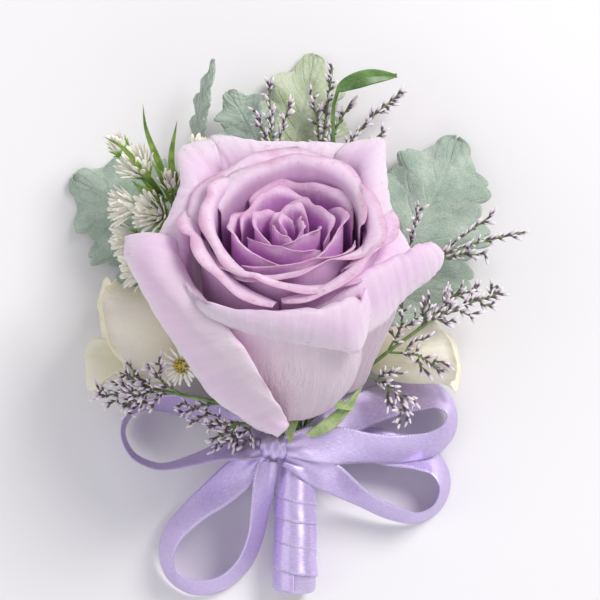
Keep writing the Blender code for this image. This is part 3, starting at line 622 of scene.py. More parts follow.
def pale_outside(points, faces, uvs):
    """A petal's skin whose outer side takes only the pale part of its finish, short of the specks."""
    outer = faces.max(axis=1) < len(points) // 2
    uvs = uvs.copy()
    uvs[outer, :, 1] = PALE_FROM + PALE_SPAN * uvs[outer, :, 1]
    return points, faces, uvs


cup, frame_cup = [], nodes_called("middle_petal_")
for i in range(MIDDLE_PETALS):
    turn = CUP_START + GOLDEN_TURN * i
    radius, height = 21.6 - 0.62 * i, 46.0 + 0.5 * i + 2.6 * (1 - math.cos(math.radians(turn)))
    grid = petal(turn, half=25, rim=(radius - 0.2, height), belly=(radius, 18), order=6 + 0.55 * i,
                 over=5.2 - 0.35 * i, slant=(13, 15), roll=3.0 - 0.12 * i, cap=86, wave=0.4, waves=1.3,
                 crinkle=0.07)
    mesh = mesh_from(f"rose_middle_{i + 1}", [pale_outside(*skin(grid, PETAL_THICK))], middle_petal_finish)
    cup.append(show(mesh, "rose_middle", *frame_cup[i:i + 1]))
say("middle petals", *cup)

heart, frame_heart = [], nodes_called("inner_petal_") + nodes_called("core_petal_")
for i in range(INNER_PETALS):
    radius = 16.6 - 1.22 * i
    grid = petal(HEART_START + GOLDEN_TURN * i, half=max(radius * 1.05, 3.6),
                 rim=(radius * 0.97, 50.4 - 0.10 * i), belly=(radius, 24), order=11 + 0.6 * i, over=1.3,
                 slant=(16, 16), roll=1.5, cap=48, wave=0.55, waves=1.2, crinkle=0.05, across=37, along=49)
    mesh = mesh_from(f"rose_inner_{i + 1}", [skin(grid, PETAL_THICK)], inner_petal_finish)
    heart.append(show(mesh, "rose_inner", *frame_heart[i:i + 1]))
say("inner petals", *heart)

# %% [markdown]
# Stems are round rods. In the handle they lie side by side in a ring, each in a slot of its own, and only fan
# out above it. The thick rose stem runs down the middle and swells into the hip under the petals. The green
# of a stem is streaked along its length and a little lighter where it was rubbed.

# %% Green finishes
def green_finish(name, dark, light, roughness=0.5):
    """Mottled, and streaked along the piece, between two greens."""
    finish = Finish(name, roughness, Sheen_Weight=0.1)
    mottle = finish.noise(finish.place, 260.0, 4.0)
    streak = finish.noise(finish.stretched(9, 40))
    tone = finish.plus(finish.times(mottle, 0.6), finish.times(streak, 0.4))
    finish.coloured(finish.ramp(tone, (0.36, dark), (0.62, light)))
    finish.bumped(tone, 0.00012, 0.6)
    return finish.material


stem_finish = green_finish("stem_finish", "3E5A26", "86A05A")
leaf_finish = green_finish("ruscus_finish", "35582A", "6F9450", 0.38)
sepal_finish = green_finish("sepal_finish", "7E9A58", "C2D49C")
aster_green_finish = green_finish("aster_green_finish", "44682A", "94B24E", 0.45)
print("green finishes:", [m.name for m in (stem_finish, leaf_finish, sepal_finish, aster_green_finish)])

# %% Stems
SLOTS, RING_RADIUS, STEM_RADIUS = 16, (3.3, 4.1), 0.6


def slot_point(angle, t):
    """A place in the ring of stems inside the handle: t is 0 at its top and 1 at its end."""
    radius = RING_RADIUS[0] + (RING_RADIUS[1] - RING_RADIUS[0]) * t
    turn = math.radians(angle)
    return HANDLE_TOP + (HANDLE_END - HANDLE_TOP) * t + radius * np.array([math.cos(turn), 0, math.sin(turn)])


def stem_line(slot, route):
    """A stem's fine centre line: its cut end, then from the handle's mouth on through its route."""
    angle = slot * 360 / SLOTS
    held = [tuple(slot_point(angle, t)) for t in (0.985, 0.0, -0.1)]
    line = curve_through(held + list(route), 400)
    leaves_at = np.argmin(np.linalg.norm(line - held[-1], axis=1))
    return line[0], line[leaves_at:]


def stem_path(slot, route, points=40):
    cut_end, free = stem_line(slot, route)
    return np.vstack([cut_end, spaced(free, points - 1)])


def stem(slot, route, tip_radius=0.45, points=40):
    path = stem_path(slot, route, points)
    return tube(path, np.linspace(STEM_RADIUS, tip_radius, points))


hip_foot = ROSE_FOOT - 9 * ROSE_AXIS
rose_route = [HANDLE_END + [0, 0.6, 0], (HANDLE_TOP + HANDLE_END) / 2, HANDLE_TOP,
              HANDLE_TOP + [-0.2, 4.6, 0.9], hip_foot, hip_foot + 4 * ROSE_AXIS,
              ROSE_FOOT - 0.8 * ROSE_AXIS]
rose_path = curve_through(rose_route, 70)
from_hip = np.linalg.norm(rose_path - rose_path[-1], axis=1)
rose_swell = np.interp(from_hip, [0, 1.2, 2.5, 4, 6, 8, 10], [3.0, 4.1, 4.4, 4.2, 3.4, 2.5, 2.0])
mesh = mesh_from("rose_stalk", [tube(rose_path, rose_swell, sides=20)], stem_finish)
rose_stalk = show(mesh, "stem_green", "rose_stem")
say("rose stalk", rose_stalk)

# %% [markdown]
# Under the rose five sepals hang from the hip. Each is a long pointed tongue, so it is a grid that is wide at
# the hip and narrows to a tip, drooping more the further it goes. Five copies at even turns make the calyx.
# One more pale green tongue reaches out beside the rose's foot, over the bow.

# %% Sepals
SEPALS, SEPAL_LENGTH, SEPAL_HALF = 5, 15.0, 3.0
PALE_TONGUE = [(2.5, -28.5, 17), (8, -25.5, 19.5), (13, -21, 21), (17.5, -14.5, 21)]


def sepal(turn):
    u, v = np.meshgrid(np.linspace(-1, 1, 11), np.linspace(0, 1, 33), indexing="ij")
    radius = 4.2 + SEPAL_LENGTH * v * 0.86
    droop = -3.6 + 1.6 * v - 4.4 * v * v + 0.8 * np.sin(5 * v + turn)
    side = u * SEPAL_HALF * (1 - v) ** 0.7 * (0.75 + 0.6 * np.sin(math.pi * v))
    out = math.sin(turn) * ACROSS + math.cos(turn) * ROSE_FRONT
    along = math.cos(turn) * ACROSS - math.sin(turn) * ROSE_FRONT
    hollow = 0.5 * (1 - v) * u**2
    return (ROSE_FOOT + radius[..., None] * out + side[..., None] * along
            + (droop + hollow)[..., None] * ROSE_AXIS)


def tongue(line, half):
    """A narrow pointed strip along a line, a little folded along its middle."""
    path = curve_through(line, 31)
    v = np.linspace(0, 1, 31)
    side = unit(np.cross(unit(np.gradient(path, axis=0)), UP))
    width = half * np.sin(math.pi * np.clip(v, 0.02, 0.995) ** 0.7)
    u = np.linspace(-1, 1, 7)[:, None]
    fold = 0.35 * np.abs(u) * width[None]
    return path[None] + (u * width[None])[..., None] * side[None] + fold[..., None] * UP


parts = [skin(sepal(2 * math.pi * i / SEPALS), 0.45) for i in range(SEPALS)]
parts.append(skin(tongue(PALE_TONGUE, 1.6), 0.4))
sepals = show(mesh_from("sepals", parts, sepal_finish), "leaf_green", "calyx")
say("sepals", sepals)

# %% [markdown]
# Dusty miller leaves are thick, pale and felted: fine white hairs hide the green. Their margins are cut into
# round lobes with smaller scallops, and the skin puckers between the veins. The leaf is one strip that is a
# thin stalk in the handle and widens into the blade, so stalk and blade can't come apart. The felt is a very
# fine noise for the bump, a strong sheen, and a paler tone on the ridges of that noise and along the veins.

# %% Felt
VEIN_PAIRS, VEIN_SLANT = 11.0, 4.5


def felt_finish(name, deep, mid, pale, vein_colour="C6D4C4"):
    finish = Finish(name, 0.95, Sheen_Weight=0.7, Sheen_Roughness=0.6, Specular_IOR_Level=0.15)
    fuzz = finish.noise(finish.place, 1900.0, 5.0, 0.75)
    patches = finish.noise(finish.place, 160.0)
    tone = finish.plus(finish.times(fuzz, 0.55), finish.times(patches, 0.45))
    shade = finish.ramp(tone, (0.32, deep), (0.50, mid), (0.68, pale))
    from_rib = finish.off_middle(finish.u)
    rib = finish.ramp(from_rib, (0.0, 1.0), (0.035, 0.0))
    along = finish.plus(finish.times(finish.v, VEIN_PAIRS), finish.times(from_rib, -VEIN_SLANT))
    veins = finish.ramp(maths(finish.tree, "FRACT", along), (0.40, 0.0), (0.5, 1.0), (0.60, 0.0))
    lines = maths(finish.tree, "MAXIMUM", rib, finish.times(veins, 0.55))
    finish.coloured(finish.mix(finish.times(lines, 0.4), shade, vein_colour))
    finish.bumped(finish.plus(fuzz, finish.times(lines, -0.9)), 0.00055, 0.85)
    return finish.material


miller_finish = felt_finish("dusty_miller_finish", "84A28C", "AEC3B1", "D6E3D5")
young_miller_finish = felt_finish("young_dusty_miller_finish", "9DB286", "C6D4AE", "E4EBD2")
print("felt finishes:", miller_finish.name, young_miller_finish.name)

# %% Leaves
LEAVES = {
    "miller_leaf_right": dict(
        slot=15, way=[(6, -20, 5.2), (10.5, -10, 4.6)],
        rib=[(16, 0, 6), (24, 12, 8), (32, 26, 9.5), (38, 38, 7), (41.5, 47.5, 3)],
        half=20, lobes=4.5, depth=0.2),
    "miller_leaf_top": dict(
        slot=12, way=[(0, -20, 3.6), (-0.5, -6, 2.2), (-1, 12, 2.2)],
        rib=[(-2, 34, 5), (0, 46, 7), (2.5, 57, 6), (5, 69, 1.5)], half=13, lobes=3.5, depth=0.3),
    "miller_leaf_top_left": dict(
        slot=10, way=[(-3.2, -21, 3.9), (-4, -6, 2.6), (-6, 14, 3.5), (-7, 30, 9)],
        rib=[(-8, 40, 13), (-12, 50, 14), (-17, 59, 10)], half=9, lobes=3.5, depth=0.3),
    "miller_leaf_edge": dict(
        slot=9, way=[(-5, -21, 4.4), (-8, -4, 3), (-14, 14, 5), (-20, 28, 8)],
        rib=[(-24.5, 41, 10), (-24, 55, 12), (-20.5, 67, 13)], half=5, lobes=4.5, depth=0.35, roll=60),
    "miller_leaf_left": dict(
        slot=8, way=[(-6.5, -21, 5.6), (-11, -8, 4.5)],
        rib=[(-19, 12, 4.5), (-32, 21, 6), (-45, 30, 5), (-57, 37.5, 1.2)], half=18, lobes=4.5, depth=0.25),
    "ruscus_leaf": dict(
        slot=14, way=[(3.6, -22, 4.6), (6, -6, 3), (9, 18, 5), (10.5, 38, 13.5), (9.6, 51, 17.5)],
        rib=[(10.6, 58.4, 19), (17.5, 61.8, 19.5), (25.5, 62.6, 17)], half=2.1),
}
YOUNGEST_LEAF = "miller_leaf_top"
PETIOLE_HALF, LEAF_THICK, LEAF_FLOOR = 0.42, 0.55, 0.4
SCALLOPS, SCALLOP_DEPTH = 3.1, 0.13


def blade(slot, way, rib, half, lobes=0, depth=0, roll=0, across=33, blade_points=141):
    """A leaf and its stalk as one grid: narrow in the handle, then widening into the lobed blade.

    way and rib are the stalk's and the blade's lines, depth the share of half that the lobes are cut by, and
    roll turns the blade on edge. q runs along the blade, and u across it."""
    cut_end, line = stem_line(slot, way + rib)
    start = np.argmin(np.linalg.norm(line - np.array(rib[0]), axis=1))
    stalk = np.vstack([cut_end, spaced(line[:start + 1], 24)[:-1]])
    path = np.vstack([stalk, spaced(line[start:], blade_points)])
    q = np.concatenate([np.zeros(len(stalk)), np.linspace(0, 1, blade_points)])
    width = half * np.sin(math.pi * np.clip(q, 0, 1) ** 0.75) ** 0.7
    if lobes:
        scallop = 1 - np.abs(np.sin(math.pi * lobes * SCALLOPS * q + 0.4)) ** 0.6
        width = width * (1 - depth * (0.5 + 0.5 * np.cos(2 * math.pi * lobes * q)))
        width = width * (1 - SCALLOP_DEPTH * scallop * smooth_step(q, 0, 0.2))
    width = np.maximum(width, PETIOLE_HALF)
    tangents = unit(np.gradient(path, axis=0))
    side = unit(np.cross(tangents, UP))
    normal = np.cross(side, tangents)
    turn = math.radians(roll) * smooth_step(q, 0, 0.2)[:, None]
    side = side * np.cos(turn) + normal * np.sin(turn)
    normal = np.cross(side, tangents)
    u = np.linspace(-1, 1, across)[:, None]
    out, there = np.abs(u), smooth_step(q, 0.02, 0.15)
    sag = -0.10 * width * u**2
    if lobes:
        buckle = 0.07 * half * np.cos(2 * math.pi * lobes * (q - 0.1 * out))
        pucker = 0.18 * np.sin(31 * q + 5 * u) * np.sin(9 * u + 17 * q)
        sag = sag + there * (out**0.8 * buckle + pucker)
    else:
        sag = sag + there * 0.25 * out * half
    forward = 0.25 * width * out**1.3 * smooth_step(q, 0, 0.3)
    grid = path + (u * width)[..., None] * side + sag[..., None] * normal + forward[..., None] * tangents
    grid[..., 2] = np.maximum(grid[..., 2], LEAF_THICK / 2 + LEAF_FLOOR)
    return grid


leaves = []
for name, spec in LEAVES.items():
    finish, slot_name = (miller_finish, "miller_felt") if "lobes" in spec else (leaf_finish, "leaf_green")
    if name == YOUNGEST_LEAF:
        finish = young_miller_finish
    mesh = mesh_from(f"{name}_blade", [skin(blade(**spec), LEAF_THICK, edge=0.7)], finish)
    leaves.append(show(mesh, slot_name, name))
say("leaves", *leaves)

# %% [markdown]
# Asters and sea lavender repeat one small floret many times, which is work for Geometry Nodes. Two trees do
# it. One sets florets round a ring, tilted out of it, for the heads of the asters. The other sets them along
# a path, leaning forwards and to all sides, for the spikes of sea lavender and for the stitches of the
# ribbon. Each has named inputs and a fixed seed, and its result is kept as a plain mesh.

# %% Two trees for what repeats
def named_tree(name, inputs):
    """An empty tree with named inputs, the sockets that give them, and the node where it ends."""
    tree = bpy.data.node_groups.new(name, "GeometryNodeTree")
    tree.interface.new_socket(name="Geometry", in_out="INPUT", socket_type="NodeSocketGeometry")
    for label, kind in inputs.items():
        tree.interface.new_socket(name=label, in_out="INPUT", socket_type=f"NodeSocket{kind}")
    tree.interface.new_socket(name="Geometry", in_out="OUTPUT", socket_type="NodeSocketGeometry")
    return tree, tree.nodes.new("NodeGroupInput").outputs, tree.nodes.new("NodeGroupOutput")


def random_between(tree, low, high, seed):
    return add_node(tree, "FunctionNodeRandomValue", {2: low, 3: high, 8: seed}, data_type="FLOAT").outputs[1]


def set_florets(tree, points, rotation, given, end):
    """The last nodes of both trees: the florets on the points, made real, smooth and given their finish."""
    floret = add_node(tree, "GeometryNodeObjectInfo", {"Object": given["Floret"]}).outputs["Geometry"]
    smallest = maths(tree, "SUBTRACT", 1.0, given["Unevenness"])
    size = maths(tree, "MULTIPLY", given["Size"], random_between(tree, smallest, 1.0, given["Seed"]))
    made = add_node(tree, "GeometryNodeInstanceOnPoints", {
        "Points": points, "Instance": floret, "Rotation": rotation, "Scale": size}).outputs["Instances"]
    finish = {"Material": given["Finish"]}
    for kind, more in (("RealizeInstances", {}), ("SetShadeSmooth", {}), ("SetMaterial", finish)):
        made = add_node(tree, f"GeometryNode{kind}", {"Geometry": made, **more}).outputs["Geometry"]
    tree.links.new(made, end.inputs["Geometry"])


ring_tree, given, end = named_tree("florets_round_a_ring", {
    "Floret": "Object", "Count": "Int", "Radius": "Float", "Height": "Float", "Tilt": "Float",
    "Tilt spread": "Float", "Size": "Float", "Unevenness": "Float", "Seed": "Int", "Finish": "Material"})
circle = add_node(ring_tree, "GeometryNodeMeshCircle", {
    "Vertices": given["Count"], "Radius": given["Radius"]})
height = add_node(ring_tree, "ShaderNodeCombineXYZ", {"Z": given["Height"]})
ring = add_node(ring_tree, "GeometryNodeTransform", {
    "Geometry": circle.outputs["Mesh"], "Translation": height.outputs["Vector"]})
place = add_node(ring_tree, "GeometryNodeInputPosition")
place = add_node(ring_tree, "ShaderNodeSeparateXYZ", {"Vector": place.outputs["Position"]})
turn = maths(ring_tree, "ARCTAN2", place.outputs["Y"], place.outputs["X"])
least = maths(ring_tree, "SUBTRACT", 0.0, given["Tilt spread"])
jitter = random_between(ring_tree, least, given["Tilt spread"], given["Seed"])
euler = add_node(ring_tree, "ShaderNodeCombineXYZ", {
    "Y": maths(ring_tree, "SUBTRACT", jitter, given["Tilt"]), "Z": maths(ring_tree, "ADD", turn, jitter)})
rotation = add_node(ring_tree, "FunctionNodeEulerToRotation", {"Euler": euler.outputs["Vector"]})
set_florets(ring_tree, ring.outputs["Geometry"], rotation.outputs["Rotation"], given, end)

path_tree, given, end = named_tree("florets_along_a_path", {
    "Floret": "Object", "Pitch": "Float", "Spread": "Float", "Size": "Float", "Unevenness": "Float",
    "Seed": "Int", "Finish": "Material"})
curve = add_node(path_tree, "GeometryNodeMeshToCurve", {"Mesh": given["Geometry"]})
even = add_node(path_tree, "GeometryNodeResampleCurve", {
    "Curve": curve.outputs["Curve"], "Length": given["Pitch"]}, mode="LENGTH")
tangent = add_node(path_tree, "GeometryNodeInputTangent")
anyway = add_node(path_tree, "FunctionNodeRandomValue", {0: (-1, -1, -1), 1: (1, 1, 1), 8: given["Seed"]},
                  data_type="FLOAT_VECTOR")
aside = add_node(path_tree, "ShaderNodeVectorMath", {0: anyway.outputs[0], "Scale": given["Spread"]},
                 operation="SCALE")
lean = add_node(path_tree, "ShaderNodeVectorMath", {0: tangent.outputs["Tangent"], 1: aside.outputs[0]},
                operation="ADD")
rotation = add_node(path_tree, "FunctionNodeAlignRotationToVector", {"Vector": lean.outputs[0]}, axis="Z")
set_florets(path_tree, even.outputs["Curve"], rotation.outputs["Rotation"], given, end)


def grown(tree, host_mesh, values):
    """The plain mesh that a tree makes on a host mesh. Inputs are given by name and set by identifier."""
    host = bpy.data.objects.new("host", host_mesh)
    bpy.context.scene.collection.objects.link(host)
    modifier = host.modifiers.new("growth", "NODES")
    modifier.node_group = tree
    for item in tree.interface.items_tree:
        if item.in_out == "INPUT" and item.name in values:
            modifier[item.identifier] = values[item.name]
    graph = bpy.context.evaluated_depsgraph_get()
    mesh = bpy.data.meshes.new_from_object(host.evaluated_get(graph), depsgraph=graph)
    bpy.data.objects.remove(host)
    return mesh


def grown_along(name, lines, values):
    """The path tree's mesh on some lines in design millimetres, each a chain of edges."""
    chains = bpy.data.meshes.new("chains")
    ends = np.cumsum([len(line) for line in lines])
    edges = [(k, k + 1) for k in range(ends[-1] - 1) if k + 1 not in ends]
    chains.from_pydata(placed(np.concatenate(lines)).tolist(), edges, [])
    mesh = grown(path_tree, chains, values)
    mesh.name = name
    return mesh


print("trees:", ring_tree.name, len(ring_tree.nodes), "nodes,", path_tree.name, len(path_tree.nodes), "nodes")

# %% [markdown]
# A floret is repeated hundreds of times, so it has only a few dozen faces. All of them are short stacks of
# rings, written as (place along, half width, half thickness, rise, shade). The shade is kept on the mesh as
# an attribute, and one colour ramp turns it into green bracts, white rays and yellow discs.

# %% Small florets
def floret(name, rings, sides=4, upright=False):
    """A small closed shape along X, or along Z if upright, with an attribute for its shade."""
    turn = np.linspace(0, 2 * math.pi, sides + 1)[:-1]
    points, shades = [], []
    for along, half_width, half_thick, rise, shade in rings:
        across, over = half_width * np.cos(turn), rise + half_thick * np.sin(turn)
        columns = (over, across, along + 0 * turn) if upright else (along + 0 * turn, across, over)
        points += np.stack(columns, 1).tolist()
        shades += [shade] * sides
    corner_i, corner_j = grid_quads(len(rings), sides + 1)
    faces = (corner_i * sides + corner_j % sides).tolist()
    faces += [list(range(sides)), list(range(len(points) - sides, len(points)))]
    mesh = bpy.data.meshes.new(name)
    mesh.from_pydata(points, [], faces)
    mesh.attributes.new("shade", "FLOAT", "POINT").data.foreach_set("value", shades)
    work = bmesh.new()
    work.from_mesh(mesh)
    bmesh.ops.recalc_face_normals(work, faces=work.faces)
    work.to_mesh(mesh)
    work.free()
    shape = bpy.data.objects.new(name, mesh)
    bpy.context.scene.collection.objects.link(shape)
    return shape


ray = floret("ray", [
    (0.0, 0.05, 0.03, 0.0, 0.52), (0.2, 0.09, 0.035, 0.02, 0.66), (0.55, 0.122, 0.03, 0.04, 0.72),
    (0.85, 0.108, 0.022, 0.05, 0.74), (1.0, 0.045, 0.01, 0.03, 0.72)], 6)
bract = floret("bract", [
    (0.0, 0.14, 0.06, 0.0, 0.05), (0.3, 0.20, 0.06, 0.04, 0.12), (0.7, 0.15, 0.05, 0.06, 0.25),
    (1.0, 0.02, 0.02, 0.02, 0.34)], 6)
disc = floret("disc", [
    (0.0, 0.10, 0.10, 0.0, 0.82), (0.45, 0.16, 0.16, 0.0, 0.90), (0.85, 0.20, 0.20, 0.0, 0.97),
    (1.0, 0.08, 0.08, 0.0, 1.0)], 5)
spikelet = floret("spikelet", [
    (-0.06, 0.03, 0.03, 0.0, 0.0), (0.10, 0.07, 0.07, 0.0, 0.10), (0.28, 0.105, 0.105, 0.02, 0.28),
    (0.40, 0.12, 0.12, 0.03, 0.45), (0.54, 0.125, 0.12, 0.03, 0.78), (0.82, 0.11, 0.09, 0.03, 1.0),
    (1.0, 0.04, 0.02, 0.02, 1.0)], 6, upright=True)
stitch = floret("stitch", [
    (-0.5, 0.08, 0.08, 0, 0.5), (-0.3, 0.30, 0.30, 0, 0.6), (0.0, 0.38, 0.38, 0, 0.8),
    (0.3, 0.30, 0.30, 0, 0.6), (0.5, 0.08, 0.08, 0, 0.5)], 5, upright=True)
PATTERNS = (ray, bract, disc, spikelet, stitch)
print("faces of the florets:", {pattern.name: len(pattern.data.polygons) for pattern in PATTERNS})


def shade_finish(name, roughness, *stops, grain=700.0):
    """A finish that reads the shade kept on each floret."""
    finish = Finish(name, roughness, Sheen_Weight=0.15)
    shade = finish.node("ShaderNodeAttribute", attribute_name="shade").outputs["Fac"]
    mottle = finish.noise(finish.place, grain)
    dust = finish.ramp(mottle, (0.45, 0.0), (0.70, 0.10))
    finish.coloured(finish.mix(dust, finish.ramp(shade, *stops), "8A8578"))
    finish.bumped(mottle, 0.0001, 0.5)
    return finish.material


aster_finish = shade_finish(
    "aster_finish", 0.6, (0.0, "567E2E"), (0.28, "98BC4C"), (0.44, "D2DC8E"), (0.56, "F4F4DC"),
    (0.72, "FFFFF8"), (0.84, "D8B73C"), (1.0, "E8CC48"))
lavender_finish = shade_finish(
    "sea_lavender_finish", 0.7, (0.0, "5C6E3C"), (0.16, "5E5440"), (0.30, "4E3A58"), (0.50, "7A6482"),
    (0.76, "D2C6D0"), (1.0, "F4EEF2"), grain=500.0)

# %% [markdown]
# Every aster head is the same stack: a cup of green bracts, one or more rings of white rays and the tight
# yellow florets of the disc. What changes is how far it has opened, so each kind is a short list of rings,
# and a bud is the same flower with its rays held upright. Heads are grown at the origin and then turned to
# face where their stem points. A ring is (floret, count, radius, height, tilt, length of a floret), and a
# head is (foot, direction, kind, where its stem leaves the main one).

# %% Aster heads
BUD = [(bract, 9, 1.0, 0.2, 58, 3.8), (bract, 9, 1.5, 1.2, 70, 4.4), (ray, 9, 1.5, 2.0, 74, 5.8),
       (ray, 6, 1.0, 2.2, 82, 6.2), (ray, 3, 0.4, 2.4, 87, 6.2)]
BRUSH = [(bract, 9, 1.0, 0.2, 48, 3.8), (bract, 10, 1.7, 1.2, 58, 4.2), (ray, 12, 2.0, 2.2, 50, 6.6),
         (ray, 10, 1.6, 2.4, 62, 7.0), (ray, 7, 1.1, 2.6, 74, 7.0), (ray, 4, 0.5, 2.8, 84, 6.6),
         (disc, 6, 0.7, 4.6, 85, 1.8)]
OPEN = [(bract, 10, 1.0, 0.2, 35, 3.0), (ray, 17, 1.5, 1.9, 14, 4.3), (ray, 14, 1.4, 2.2, 26, 3.8),
        (disc, 14, 1.5, 2.3, 70, 1.3), (disc, 10, 1.0, 2.6, 80, 1.3), (disc, 6, 0.5, 2.8, 86, 1.3),
        (disc, 3, 0.15, 2.9, 88, 1.3)]
ASTER_SLOT, ASTER_STEM = 7, [(-7, -21, 8), (-12, -8, 8), (-18, 6, 10.5), (-27, 19, 15), (-34, 30, 16.5)]
ASTER_HEADS = [
    ((-42.0, 42.0, 15), (-0.5, 0.6, 0.5), BUD, 0.95),
    ((-37.2, 37.0, 18), (-0.45, 0.6, 0.6), BRUSH, 0.97),
    ((-38.5, 29.2, 16.5), (-0.9, 0.1, 0.35), BRUSH, 0.85),
    ((-33.0, 27.0, 19), (-0.55, 0.15, 0.8), BRUSH, 0.8),
    ((-25.5, 40.5, 15), (0.2, 0.8, 0.5), BUD, 0.78),
    ((-31.0, 33.5, 19), (-0.1, 0.5, 0.85), BUD, 0.9),
    ((-38.0, 21.3, 12.5), (-0.9, -0.1, 0.35), BRUSH, 0.7),
    ((-35.5, 14.8, 17.5), (-0.8, -0.15, 0.5), BRUSH, 0.6),
]
DAISY_SLOT, DAISY_STEM = 5, [(-3.8, -26.0, 13.0), (-8, -21.5, 15), (-14, -17, 18), (-22, -12.5, 20)]
DAISY_HEAD = ((-27.5, -10.5, 21.5), (-0.35, 0.0, 0.93), OPEN)
one_point = bpy.data.meshes.new("one_point")
one_point.from_pydata([(0, 0, 0)], [], [])


def merged(name, meshes):
    """One mesh of several of the same make. Their shade and their finish go with them."""
    work = bmesh.new()
    for mesh in meshes:
        work.from_mesh(mesh)
    whole = meshes[0].copy()
    work.to_mesh(whole)
    work.free()
    whole.name = name
    return whole


def aster_head(name, foot, direction, rings, seed):
    turned = Vector(unit(direction)).to_track_quat("Z", "Y").to_matrix().to_4x4()
    stand = Matrix.Translation(Vector(placed(foot))) @ turned
    meshes = []
    for k, (shape, count, radius, height, tilt, size) in enumerate(rings):
        mesh = grown(ring_tree, one_point, {
            "Floret": shape, "Count": count, "Radius": radius * MM, "Height": height * MM,
            "Tilt": math.radians(tilt), "Tilt spread": math.radians(5), "Size": size * MM, "Unevenness": 0.16,
            "Seed": seed * 10 + k, "Finish": aster_finish})
        mesh.transform(stand)
        meshes.append(mesh)
    return merged(name, meshes)


heads = []
for i, (foot, direction, rings, _) in enumerate(ASTER_HEADS):
    mesh = aster_head(f"aster_flower_{i + 1}", foot, direction, rings, i + 1)
    heads.append(show(mesh, "aster_white", f"aster_head_{i + 1}"))
heads.append(show(aster_head("daisy_flower", *DAISY_HEAD, 20), "aster_white", "daisy_head"))
say("aster heads", *heads)

# %% Aster stems and their narrow leaves
main = stem_path(ASTER_SLOT, ASTER_STEM, 60)
parts = [tube(main, 0.5)]
for foot, direction, _, start in ASTER_HEADS:
    foot, direction = np.array(foot), unit(direction)
    root = spaced(main[1:], 101)[int(start * 100)]
    parts.append(tube(curve_through([root, (root + foot) / 2 - direction, foot + 0.3 * direction], 16),
                      np.linspace(0.42, 0.6, 16)))
NARROW_LEAVES = [
    [(-31, 31, 17), (-34, 40, 21), (-37.5, 50, 25), (-38, 55, 26)],
    [(-30, 32, 18), (-31, 42, 22), (-29.5, 51, 24)],
    [(-33, 32, 17), (-38, 38, 23), (-43, 44, 26), (-48, 47, 24)],
    [(-29, 29, 18), (-27, 36, 22), (-27, 44, 23)],
    [(-32, 28, 18), (-36, 33, 23), (-39, 35, 25)], [(-31, 30, 19), (-33, 36, 24), (-36, 41, 26)],
    [(-30, 22, 16), (-33, 24, 20), (-38, 25, 21)], [(-30, 33, 19), (-30, 37, 23), (-31.5, 41, 25)],
    [(-28, 26, 18), (-28.5, 31, 23), (-27, 35, 24)], [(-32, 31, 19), (-35, 31.5, 24), (-37, 33.5, 25)],
    [(-34, 33, 18), (-37.5, 33, 21), (-41, 36, 21)], [(-33, 24, 18), (-35.5, 27, 22), (-36, 31, 23)],
]
parts += [skin(tongue(line, 0.85), 0.25) for line in NARROW_LEAVES]
aster_stems = show(mesh_from("aster_stems", parts, aster_green_finish), "stem_green", "aster_stem")
foot, direction, _ = DAISY_HEAD
daisy_end = tuple(np.array(foot) + 0.2 * unit(direction))
mesh = mesh_from("daisy_stalk", [stem(DAISY_SLOT, DAISY_STEM + [daisy_end], 0.4)], stem_finish)
daisy_stalk = show(mesh, "stem_green", "daisy_stem")
say("aster stems", aster_stems, daisy_stalk)

# %% [markdown]
# The cream flowers on both sides are lisianthus, lying half under the rose. Their petals are made by the same
# function as the rose's, only wider, thinner and more ruffled, round an axis that points sideways, and
# pressed flat a little, as a flower is when it lies on a table. Their finish is cream, greener at the foot.

# %% Lisianthus
cream_finish = petal_finish("lisianthus_cream_finish", [
    (0.0, "D8DAA0"), (0.25, "F4F0C4"), (0.55, "FFFADC"), (0.9, "FFFCE8"), (1.0, "F6F0CC")],
    veins=0.03, specks=0.2, vein_colour="E4DFB4", stain="C6BC8E", glow=(1.0, 0.95, 0.7), depth=0.3)
LISIANTHUS = {
    "left": dict(
        slot=6, way=[(-8, -22.5, 11.6), (-16, -12, 11.5)], foot=(-23, -5.5, 10.5), axis=(-0.96, 0.1, 0.18),
        petals=[(20, 12.5, 26, 15), (150, 11.4, 25, 14), (-100, 10.3, 27, 14)], squash=0.68),
    "right": dict(
        slot=1, way=[(8, -21.5, 8.6), (14, -14, 10)], foot=(20, -8, 11), axis=(0.95, 0.02, 0.2),
        petals=[(0, 7.8, 20, 10), (160, 6.7, 19, 10)], squash=0.8),
}
creams = []
for side, spec in LISIANTHUS.items():
    foot, axis = np.array(spec["foot"], float), unit(spec["axis"])
    front = unit(UP - axis * (UP @ axis))
    stalk = stem(spec["slot"], spec["way"] + [tuple(foot - axis * 0.4)], 1.6)
    mesh = mesh_from(f"lisianthus_stalk_{side}", [stalk], stem_finish)
    creams.append(show(mesh, "stem_green", f"lisianthus_stem_{side}"))
    for i, (turn, radius, height, half) in enumerate(spec["petals"]):
        local = petal(turn, half, rim=(radius * 1.04, height), belly=(radius, 6), order=i, over=3.0,
                      slant=(16, 22), roll=3.2, cap=70, wave=1.5, waves=1.9, crinkle=0.22, rounding=0.22,
                      lean=0.25 - 0.4 * i, foot=np.zeros(3), front=front, axis=axis)
        grid = foot + local - (1 - spec["squash"]) * (local @ front)[..., None] * front
        mesh = mesh_from(f"lisianthus_{side}_{i + 1}", [skin(grid, 0.4)], cream_finish)
        creams.append(show(mesh, "lisianthus_cream", f"lisianthus_petal_{side}_{i + 1}"))
say("lisianthus", *creams)

# %% [markdown]
# Sea lavender is a dry, wiry stem that forks into spikes, and each spike is crowded with papery florets of 3
# to 4 mm, purple at the foot and whitish at the mouth. The wires are tubes. The dense sprays have short twigs
# off each spike too. The florets are the second tree's work: it walks along every spike and twig in even
# steps and sets a floret at each, leaning forwards and aside.

